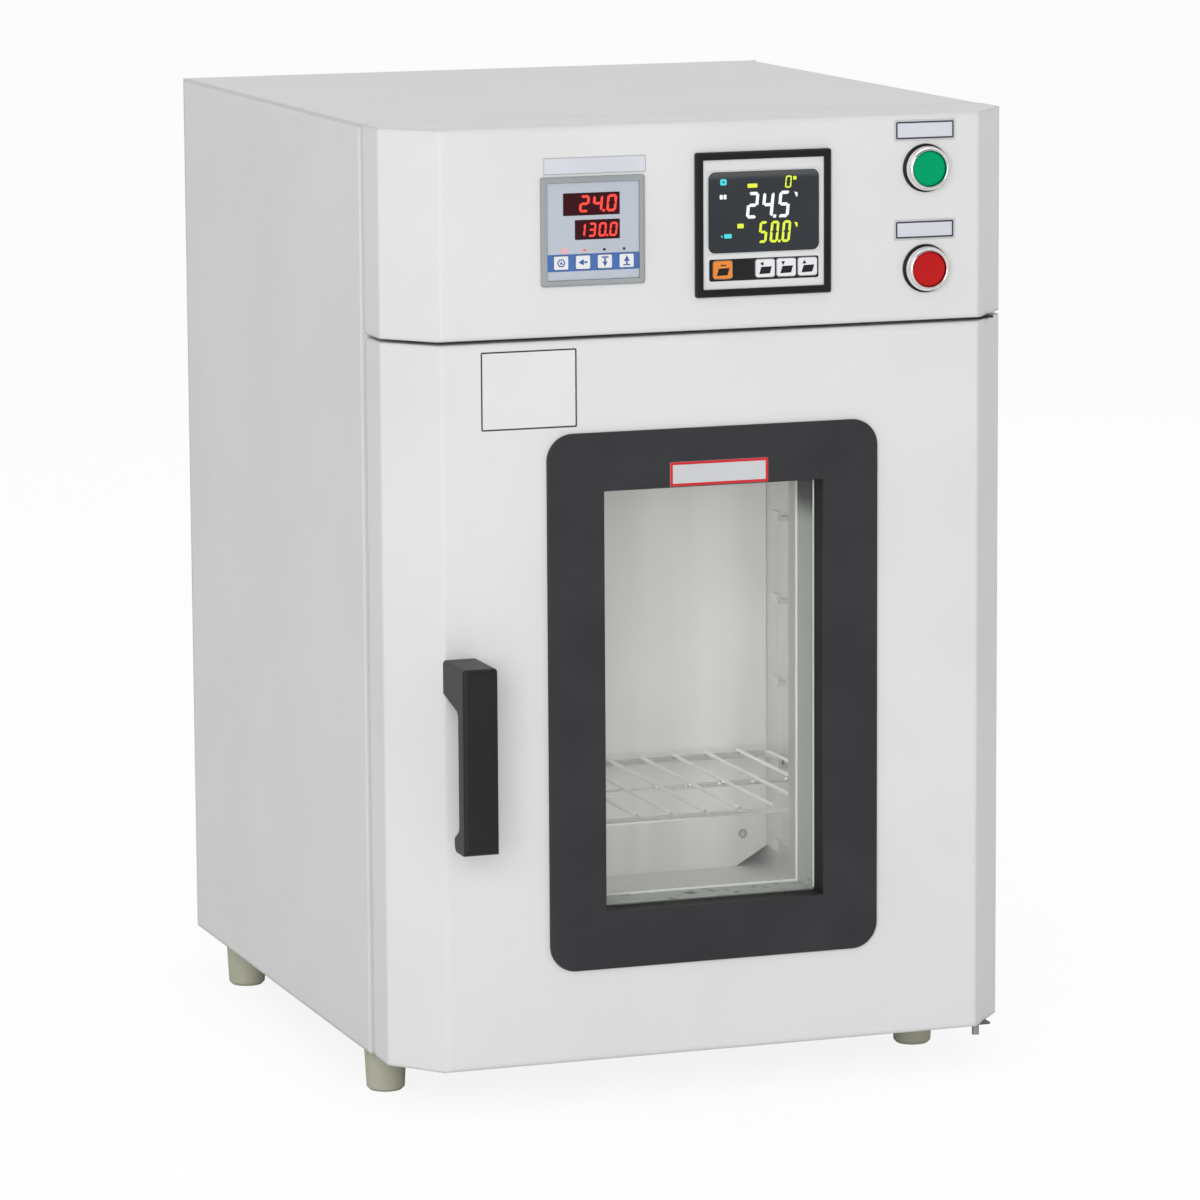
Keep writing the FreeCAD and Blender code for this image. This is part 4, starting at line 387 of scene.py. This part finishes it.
def roundRect(left, low, right, high, radius=0.0):
    # corner points in millimetres, counter-clockwise
    if radius <= 0:
        return [(left, low), (right, low), (right, high), (left, high)]
    points = []
    for cx, cz, start in ((right - radius, low + radius, -90), (right - radius, high - radius, 0),
                          (left + radius, high - radius, 90), (left + radius, low + radius, 180)):
        for step in range(cornerSteps + 1):
            angle = math.radians(start + 90 * step / cornerSteps)
            points.append((cx + radius * math.cos(angle), cz + radius * math.sin(angle)))
    return points


def ring(box, radius, wide):
    # outline and inner edge of a frame of even width
    left, low, right, high = box
    return [roundRect(left, low, right, high, radius),
            roundRect(left + wide, low + wide, right - wide, high - wide, max(radius - wide, 0.2))]


def disc(cx, cz, radius, steps):
    return [(cx + radius * math.cos(2 * math.pi * step / steps),
             cz + radius * math.sin(2 * math.pi * step / steps)) for step in range(steps)]


def grow(box, room):
    return (box[0] - room, box[1] - room, box[2] + room, box[3] + room)


def frontBox(name):
    # a node's left, low, right and high in millimetres, and its front
    low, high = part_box(name)
    return (low.x * 1000, low.z * 1000, high.x * 1000, high.z * 1000), low.y


def inlay(name, loops, front, thick, material, body, edge=0.0):
    # plate cut from closed outlines in millimetres, inner ones are holes; its front faces -Y
    curve = bpy.data.curves.new(name + "_curve", "CURVE")
    curve.dimensions = "2D"
    curve.fill_mode = "BOTH"
    curve.extrude = thick / 2 - edge
    curve.bevel_depth = edge
    curve.bevel_resolution = 2
    curve.offset = -edge
    for loop in loops:
        spline = curve.splines.new("POLY")
        spline.points.add(len(loop) - 1)
        for point, (x, z) in zip(spline.points, loop):
            point.co = (x / 1000, z / 1000, 0, 1)
        spline.use_cyclic_u = True
    item = newObject(name + "_curve", curve)
    mesh = bpy.data.meshes.new_from_object(item)
    mesh.transform(Matrix.Translation((0, front + thick / 2, 0)) @ Matrix.Rotation(math.pi / 2, 4, "X"))
    bpy.data.objects.remove(item)
    bpy.data.curves.remove(curve)
    return addPiece(name, mesh, material, body)


def addPiece(name, mesh, material, body):
    mesh.name = name
    mesh.materials.clear()
    mesh.materials.append(material)
    piece = newObject(name, mesh)
    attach(piece, body)
    return piece


figure = {"lean": 0.10, "space": 0.36, "dot": 0.06, "gap": 0.05, "cut": 0.85,
          "lit": {"0": "abcdef", "1": "bc", "2": "abged", "3": "abgcd", "4": "fgbc", "5": "afgcd"}}


def segmentLoops(digit, left, low, right, high, bar):
    # lit bars of one seven-segment digit, mitred where they meet, its corners cut off
    gap, cut = bar * figure["gap"], bar * figure["cut"]
    half, middle = bar / 2, (low + high) / 2

    def level(z, inward):
        inner, slant = z + inward * bar, z + inward * cut / 2
        return [(left + bar + gap, inner), (right - bar - gap, inner), (right - cut / 2 - gap, slant),
                (right - cut, z), (left + cut, z), (left + cut / 2 + gap, slant)]

    def upright(x, inward, end, up):
        return [(x, middle + up * gap), (x, end - up * cut),
                (x + inward * cut / 2, end - up * (cut / 2 + gap)),
                (x + inward * bar, end - up * (bar + gap)),
                (x + inward * bar, middle + up * (half + gap)),
                (x + inward * half, middle + up * gap)]

    waist = [(left + half + gap, middle), (left + bar + gap, middle - half),
             (right - bar - gap, middle - half), (right - half - gap, middle),
             (right - bar - gap, middle + half), (left + bar + gap, middle + half)]
    bars = {"a": level(high, -1), "d": level(low, 1), "g": waist,
            "f": upright(left, 1, high, 1), "e": upright(left, 1, low, -1),
            "b": upright(right, -1, high, 1), "c": upright(right, -1, low, -1)}
    return [bars[name] for name in figure["lit"][digit]]


def figures(name, text, box, front, thick, material, bar=0.12):
    # a row of leaning seven-segment digits that fills a box
    left, low, right, high = box
    tall = high - low
    dots = text.count(".")
    count = len(text) - dots
    wide = (right - left - figure["lean"] * tall) / (count * (1 + figure["space"]) - figure["space"]
                                                     + dots * figure["dot"])
    loops, x = [], left
    for letter in text:
        if letter == ".":
            spot = x - (wide * figure["space"] + bar * tall) / 2
            loops.append(roundRect(spot, low, spot + bar * tall, low + bar * tall, 0.2))
            x += wide * figure["dot"]
        else:
            loops += segmentLoops(letter, x, low, x + wide, high, bar * tall)
            x += wide * (1 + figure["space"])
    leaning = [[(px + (pz - low) * figure["lean"], pz) for px, pz in loop] for loop in loops]
    inlay(name, leaning, front, thick, material, "cabinet")


# What both controllers share

def onFace(panel, left, high, right, low):
    # box from distances right of and below a controller's outer corner
    return (panel["left"] + left, panel["top"] - low, panel["left"] + right, panel["top"] - high)


def keyFronts(controller):
    return [frontBox(f"{controller}_key_{index}") for index in range(1, 5)]


def keyStrip(name, panel, keys, face, material):
    # strip round the keys, with a hole for each
    loops = [roundRect(*onFace(panel, *panel["strip"]), panel["stripCorner"])]
    loops += [roundRect(*grow(box, panel["keyRoom"]), panel["keyCorner"]) for box, keyFront in keys]
    inlay(name, loops, face - panel["stripThick"], panel["stripThick"], material, "cabinet")


def keyMark(name, loops, keyFront, material, thick):
    inlay(name + "_mark", loops, keyFront - thick, thick, material, name)


def arrow(cx, cz, size, turn):
    # small triangle, turned in degrees from pointing right
    spots = [(size, 0), (-size * 0.7, size * 0.9), (-size * 0.7, -size * 0.9)]
    c, s = math.cos(math.radians(turn)), math.sin(math.radians(turn))
    return [(cx + x * c - z * s, cz + x * s + z * c) for x, z in spots]


# Main controller: key strip, digits and marks on the display

main = {"left": -13.4, "top": 637.5, "strip": (9.5, 71.0, 87.0, 85.5), "stripThick": 0.0002,
        "stripCorner": 1.4, "keyRoom": 0.5, "keyCorner": 1.8, "markThick": 0.00012}
faceFront = frontBox("main_controller_face")[1]
mainKeys = keyFronts("main")
keyStrip("main_key_strip", main, mainKeys, faceFront, markFinish)
lensBox, lensFront = frontBox("main_controller_lens")
mask = {"room": (0.4, -0.1), "corner": (2.0, 4.6)}
inlay("main_display_mask",
      [roundRect(*grow(lensBox, room), corner) for room, corner in zip(mask["room"], mask["corner"])],
      min(lensFront, faceFront) - main["markThick"], main["markThick"], silverFinish, "cabinet")
glowFront = lensFront - main["markThick"]


def lensMark(name, loops, material):
    inlay(name, loops, glowFront, main["markThick"], material, "cabinet")


for name, text, box, material in (
        ("main_digits_actual", "24.5", (35.2, 27.0, 67.2, 44.6), whiteGlow),
        ("main_digits_target", "50.0", (43.8, 46.7, 67.6, 61.1), yellowGlow),
        ("main_digit_step", "0", (62.9, 17.0, 68.1, 25.1), yellowGlow)):
    figures(name, text, onFace(main, *box), glowFront, main["markThick"], material)
smallMarks = (((16.9, 28.2, 18.9, 31.2), whiteGlow), ((19.6, 28.2, 21.6, 31.2), whiteGlow),
              ((29.3, 47.8, 33.7, 50.8), yellowGlow), ((17.7, 55.2, 18.9, 56.4), cyanGlow),
              ((20.0, 54.3, 25.2, 57.2), cyanGlow), ((36.5, 21.5, 43.4, 24.2), yellowGlow),
              ((68.9, 17.5, 71.2, 19.9), yellowGlow))
for index, (box, material) in enumerate(smallMarks, start=1):
    lensMark(f"main_small_mark_{index}", [roundRect(*onFace(main, *box), 0.4)], material)
tick = {"left": 69.6, "shape": ((0, 0), (1.5, -3.4), (2.4, -2.8), (2.2, -0.4))}
for name, down, material in (("main_tick_actual", 27.9, whiteGlow), ("main_tick_target", 48.0, yellowGlow)):
    cx, cz = main["left"] + tick["left"], main["top"] - down
    lensMark(name, [[(cx + x, cz + z) for x, z in tick["shape"]]], material)
run = {"left": 19.5, "down": 19.9, "half": (2.3, 2.1), "corner": 1.2, "hole": 0.7}
cx, cz = main["left"] + run["left"], main["top"] - run["down"]
halfWide, halfTall = run["half"]
lensMark("main_run_mark",
         [roundRect(cx - halfWide, cz - halfTall, cx + halfWide, cz + halfTall, run["corner"]),
          disc(cx, cz, run["hole"], 12)], cyanGlow)
for index, (box, keyFront) in enumerate(mainKeys, start=1):
    cx, low, high = (box[0] + box[2]) / 2, box[1], box[3]
    foot = [(cx - 4.4, low + 2.0), (cx + 3.2, low + 2.3), (cx + 4.6, low + 7.0), (cx - 2.9, low + 6.8)]
    side, size, upper = cx - 2.4, 1.5, high - 2.9
    sign = {1: roundRect(cx - 1.6, high - 3.3, cx + 2.2, high - 2.5), 2: arrow(side, upper, size, 180),
            3: arrow(side, upper, size, -90), 4: arrow(side, upper, size, 90)}[index]
    keyMark(f"main_key_{index}", [foot, sign], keyFront, markFinish, main["markThick"])
print("main controller marked")


# Limit controller: two lit windows, lamps, key strip and key marks

limit = {"left": -120.9, "top": 625.0, "strip": (4.1, 50.9, 67.9, 62.1), "stripThick": 0.00015,
         "stripCorner": 0.8, "keyRoom": 0.35, "keyCorner": 1.0, "markThick": 0.00012,
         "windowThick": 0.0002, "windowCorner": 0.6, "bar": 0.15}
limitFront = frontBox("limit_controller_face")[1]
windowPlace = limitFront - limit["windowThick"]
for name, text, window, box in (
        ("limit_actual", "24.0", (15.2, 10.8, 54.5, 25.6), (26.0, 12.4, 52.9, 23.6)),
        ("limit_target", "130.0", (23.3, 28.6, 54.5, 41.6), (24.8, 30.6, 53.2, 39.9))):
    inlay(name + "_window", [roundRect(*onFace(limit, *window), limit["windowCorner"])], windowPlace,
          limit["windowThick"], ledFinish, "cabinet")
    figures(name + "_digits", text, onFace(limit, *box), windowPlace - limit["markThick"],
            limit["markThick"], redGlow, limit["bar"])
limitKeys = keyFronts("limit")
keyStrip("limit_key_strip", limit, limitKeys, limitFront, blueStripFinish)
limitLamps = {"left": 16.0, "pitch": 13.8, "down": 48.5, "proud": 0.0004, "edge": 0.00012,
              "row": ((1.7, pinkGlow), (0.8, redGlow), (0.9, markFinish), (0.9, markFinish))}
for index, (size, material) in enumerate(limitLamps["row"]):
    x = limit["left"] + limitLamps["left"] + limitLamps["pitch"] * index
    z = limit["top"] - limitLamps["down"]
    inlay(f"limit_lamp_{index + 1}", [disc(x, z, size, 20)], limitFront - limitLamps["proud"],
          limitLamps["proud"], material, "cabinet", limitLamps["edge"])
for index, (box, keyFront) in enumerate(limitKeys, start=1):
    cx, cz = (box[0] + box[2]) / 2, (box[1] + box[3]) / 2
    shapes = {1: [disc(cx, cz, 2.9, 6), disc(cx, cz, 2.1, 6), arrow(cx, cz, 1.2, 90)],
              2: [arrow(cx - 1.1, cz, 2.2, 180), roundRect(cx + 0.9, cz - 0.6, cx + 3.0, cz + 0.6)],
              3: [arrow(cx, cz - 1.4, 2.0, -90), roundRect(cx - 0.6, cz + 0.3, cx + 0.6, cz + 2.2),
                  roundRect(cx - 2.4, cz + 2.4, cx + 2.4, cz + 3.3)],
              4: [arrow(cx, cz + 1.2, 2.2, 90), roundRect(cx - 0.6, cz - 2.2, cx + 0.6, cz - 0.6),
                  roundRect(cx - 2.4, cz - 3.2, cx + 2.4, cz - 2.4)]}[index]
    keyMark(f"limit_key_{index}", shapes, keyFront, blueMarkFinish, limit["markThick"])
print("limit controller marked")


# Bare label places

labels = {"thick": 0.0003, "edge": 0.00008, "lineThick": 0.0001, "side": (128.6, 172.6),
          "fieldInset": 2.3, "fieldPlace": 0.00036, "fieldThick": 0.00006}


def labelPlace(name, body, box, radius, plate, line, inset, wide, front=frontFace):
    # thin plate with a drawn line near its edge
    plateFront = front - labels["thick"]
    inlay(name, [roundRect(*box, radius)], plateFront, labels["thick"], plate, body,
          labels["edge"])
    inlay(name + "_line", ring(grow(box, -inset), radius, wide), plateFront - labels["lineThick"],
          labels["lineThick"], line, body)


labelPlace("limit_label", "cabinet", (-118.6, 626.4, -47.4, 637.6), 0.6, blueLabelFinish,
           labelFinish, 0.2, 0.4)
for name, low, high in (("start", 640.2, 654.4), ("stop", 573.8, 587.6)):
    box = (labels["side"][0], low, labels["side"][1], high)
    labelPlace(name + "_label", "cabinet", box, 1.0, labelFinish, slateFinish, 1.3, 1.0)
    inlay(name + "_label_field", [roundRect(*grow(box, -labels["fieldInset"]))],
          frontFace - labels["fieldPlace"], labels["fieldThick"], blueLabelFinish, "cabinet")
labelPlace("door_plate", "door", (-163.0, 459.5, -96.3, 512.0), 1.0, plateFinish, slateFinish, 0.2, 0.95)
borderFront = frontBox("window_frame")[1]
labelPlace("window_strip", "door", (-32.4, 416.6, 37.3, 433.0), 0.8, stripFinish, redMarkFinish,
           0.1, 1.8, borderFront)
print("label places set")


# Glazing beads, screws and turned button rings

bead = {"box": (-78.7, 132.0, 76.9, 416.0), "corner": 1.0,
        "outer": {"wide": 1.0, "thick": 0.0009, "edge": 0.0003},
        "inner": {"wide": 1.6, "thick": 0.0006, "edge": 0.0002}}
for name, pane, part in (("glazing_bead", "outer_glass", "outer"), ("inner_bead", "inner_glass", "inner")):
    section = bead[part]
    inlay(name, ring(bead["box"], bead["corner"], section["wide"]),
          frontBox(pane)[1] - section["thick"], section["thick"], beadFinish, "door",
          section["edge"])

screw = {"arm": 0.62, "half": 0.16, "thick": 0.0009, "edge": 0.0003, "steps": 24}


def crossScrew(name, x, z, front, radius, body):
    # low round head with a cross cut in it
    arm, half = radius * screw["arm"], radius * screw["half"]
    cross = [(x - arm, z - half), (x - half, z - half), (x - half, z - arm), (x + half, z - arm),
             (x + half, z - half), (x + arm, z - half), (x + arm, z + half), (x + half, z + half),
             (x + half, z + arm), (x - half, z + arm), (x - half, z + half), (x - arm, z + half)]
    inlay(name, [disc(x, z, radius, screw["steps"]), cross], front, screw["thick"], zincFinish, body,
          screw["edge"])


baffleFront = frontBox("air_baffle")[1] - screw["thick"]
strikerFront = frontBox("striker_plate")[1] - screw["thick"]
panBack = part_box("door_inner_panel")[1].y
for kind, body, front, radius, spots in (
        ("baffle", "cabinet", baffleFront, 3.4, ((-134, 112), (134, 112), (-134, 452), (134, 452))),
        ("striker", "cabinet", strikerFront, 2.6, ((-182.0, 270), (-182.0, 326))),
        ("door", "door", panBack, 3.0,
         ((-205, 48), (205, 60), (-205, 500), (205, 486), (0, 48), (0, 500)))):
    for index, (x, z) in enumerate(spots, start=1):
        crossScrew(f"{kind}_screw_{index}", x, z, front, radius, body)

bezel = {"steps": 72, "profile": ((1.0, 0.0), (1.0, 0.33), (0.996, 0.50), (0.982, 0.64), (0.958, 0.77),
                                  (0.925, 0.88), (0.885, 0.96), (0.850, 1.0), (0.826, 0.985), (0.806, 0.93),
                                  (0.802, 0.80), (0.802, 0.0))}
for name in ("start_button", "stop_button"):
    low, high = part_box(name + "_bezel")
    cx, cz, radius = (low.x + high.x) / 2, (low.z + high.z) / 2, (high.x - low.x) / 2
    spots, faces, rows = [], [], len(bezel["profile"])
    for step in range(bezel["steps"]):
        angle = 2 * math.pi * step / bezel["steps"]
        for reach, proud in bezel["profile"]:
            spots.append((cx + radius * reach * math.cos(angle), high.y - (high.y - low.y) * proud,
                          cz + radius * reach * math.sin(angle)))
        here, following = step * rows, (step + 1) % bezel["steps"] * rows
        for row in range(rows):
            nextRow = (row + 1) % rows
            faces.append((here + row, here + nextRow, following + nextRow, following + row))
    item = addPiece(name + "_ring", smoothMesh(name + "_ring", spots, faces), chromeFinish, "cabinet")
    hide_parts(name + "_bezel")
print("beads, screws and button rings set")


# Pressed hoods over the rear louvres

hood = {"rows": 8, "low": 330.0, "pitch": 12.0, "left": 20.0, "right": 80.0, "ends": 1.5, "proud": 3.2,
        "taper": 8, "lift": 3.4, "tall": 5.6, "steps": 14, "bends": 5, "sheet": 0.0006}
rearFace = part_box("rear_panel")[1].y
halfLong = (hood["right"] - hood["left"]) / 2 + hood["ends"]
spots, faces = [], []
for side in (-1, 1):
    for row in range(hood["rows"]):
        z0 = hood["low"] + row * hood["pitch"]
        first = len(spots)
        for step in range(hood["steps"] + 1):
            along = -1 + 2 * step / hood["steps"]
            x = side * (hood["left"] + hood["right"]) / 2 + along * halfLong
            swell = hood["proud"] * (1 - abs(along) ** hood["taper"])
            for bend in range(hood["bends"] + 1):
                angle = math.pi / 2 * bend / hood["bends"]
                spots.append((x / 1000, rearFace + swell * math.sin(angle) / 1000,
                              (z0 + hood["lift"] - hood["tall"] * (1 - math.cos(angle))) / 1000))
        wide = hood["bends"] + 1
        for step in range(hood["steps"]):
            for bend in range(hood["bends"]):
                corner = first + step * wide + bend
                faces.append((corner, corner + 1, corner + wide + 1, corner + wide))
hoods = addPiece("rear_louvre_hoods", smoothMesh("rear_louvre_hoods", spots, faces), paintFinish,
                 "cabinet")
shell = hoods.modifiers.new("sheet", "SOLIDIFY")
shell.thickness = hood["sheet"]
shell.offset = -1
print("louvre hoods set")


# Camera, lamps, floor and backdrop

camera = {"spot": (-1.37509, -3.94603, 0.98343), "yaw": 0.3359, "pitch": 0.1617, "roll": -0.0061,
          "lens": 179.94, "sensor": 36.0, "clip": (0.05, 60.0)}
yaw, pitch, roll = camera["yaw"], camera["pitch"], camera["roll"]
forward = Vector((math.sin(yaw) * math.cos(pitch), math.cos(yaw) * math.cos(pitch), -math.sin(pitch)))
sideways = Vector((math.cos(yaw), -math.sin(yaw), 0))
upward = sideways.cross(forward)
rolledRight = sideways * math.cos(roll) + upward * math.sin(roll)
rolledUp = upward * math.cos(roll) - sideways * math.sin(roll)
eye = newObject("photo_camera", bpy.data.cameras.new("photo_camera"))
eye.data.lens = camera["lens"]
eye.data.sensor_width = camera["sensor"]
eye.data.clip_start, eye.data.clip_end = camera["clip"]
facing = Matrix((rolledRight, rolledUp, -forward)).transposed().to_4x4()
eye.matrix_world = Matrix.Translation(camera["spot"]) @ facing
bpy.context.scene.camera = eye

lamps = {
    "key": {"spot": (-2.1, -4.5, 1.45), "aim": (0, -0.1, 0.30), "size": 2.8, "power": 115.0},
    "fill": {"spot": (2.4, 1.9, 1.0), "aim": (0, 0, 0.35), "size": 1.6, "power": 5.0},
    "top": {"spot": (0.0, 0.2, 2.8), "aim": (0, 0, 0.3), "size": 2.0, "power": 3.0},
    "chamber": {"spot": (0.0, -0.155, 0.27), "aim": (0, 0.1, 0.27), "size": 0.26, "power": 0.28},
    "chamberLow": {"spot": (0.0, -0.155, 0.13), "aim": (0, 0.1, 0.105), "size": 0.10, "power": 0.065},
}
for name, lamp in lamps.items():
    light = bpy.data.lights.new(name + "_lamp", "AREA")
    light.size = lamp["size"]
    light.energy = lamp["power"]
    item = newObject(name + "_lamp", light)
    item.location = lamp["spot"]
    item.rotation_euler = (Vector(lamp["aim"]) - Vector(lamp["spot"])).to_track_quat("-Z", "Y").to_euler()
    item.visible_camera = False
    item.visible_glossy = not name.startswith("chamber")

sky = {"light": 0.645, "seen": 1.0, "mirrorFront": 0.12, "mirrorBack": 0.95, "turnOver": (-0.85, -0.25)}
world = bpy.data.worlds.new("studio")
bpy.context.scene.world = world
wire = emptied(world)
seen = wire.node("ShaderNodeLightPath", output="Is Camera Ray")
mirrored = wire.node("ShaderNodeLightPath", output="Is Glossy Ray")
through = wire.node("ShaderNodeLightPath", output="Is Transmission Ray")
heading = wire.node("ShaderNodeTexCoord", output="Generated")
depthways = wire.node("ShaderNodeSeparateXYZ", {}, {0: heading}, "Y")
rear = depthways.between(*sky["turnOver"])
mirrorLight = rear * (sky["mirrorBack"] - sky["mirrorFront"]) + sky["mirrorFront"]
shown = seen.maths("MAXIMUM", seen, through)
unseen = sky["light"] * (1 - mirrored) + mirrorLight * mirrored
strength = unseen * (1 - shown) + shown * sky["seen"]
wire.end("ShaderNodeOutputWorld",
         wire.node("ShaderNodeBackground", {}, {"Color": (1, 1, 1, 1), "Strength": strength}))

ground = {"reach": 12.0, "low": (0.86, 0.86, 0.86), "high": (0.88, 0.88, 0.88), "white": 1.06, "cover": 0.82}
far = ground["reach"]
floorMesh = bpy.data.meshes.new("studio_floor")
floorMesh.from_pydata([(-far, -far, 0), (far, -far, 0), (far, far, 0), (-far, far, 0)], [], [(0, 1, 2, 3)])
floor = newObject("studio_floor", floorMesh)
pale = bpy.data.materials.new("pale_floor")
wire = emptied(pale)
cloud = wire.noise(1.5, 2.0)
matte = wire.node("ShaderNodeBsdfDiffuse", {}, {"Color": cloud.blend(ground["low"], ground["high"])})
white = wire.node("ShaderNodeEmission", {}, {"Color": (1, 1, 1, 1), "Strength": ground["white"]})
seen = wire.node("ShaderNodeLightPath", output="Is Camera Ray")
wire.end("ShaderNodeOutputMaterial",
         wire.node("ShaderNodeMixShader", {}, {0: seen * ground["cover"], 1: matte, 2: white}))
floorMesh.materials.append(pale)
bpy.context.scene.view_settings.view_transform = "Standard"
print("studio ready")
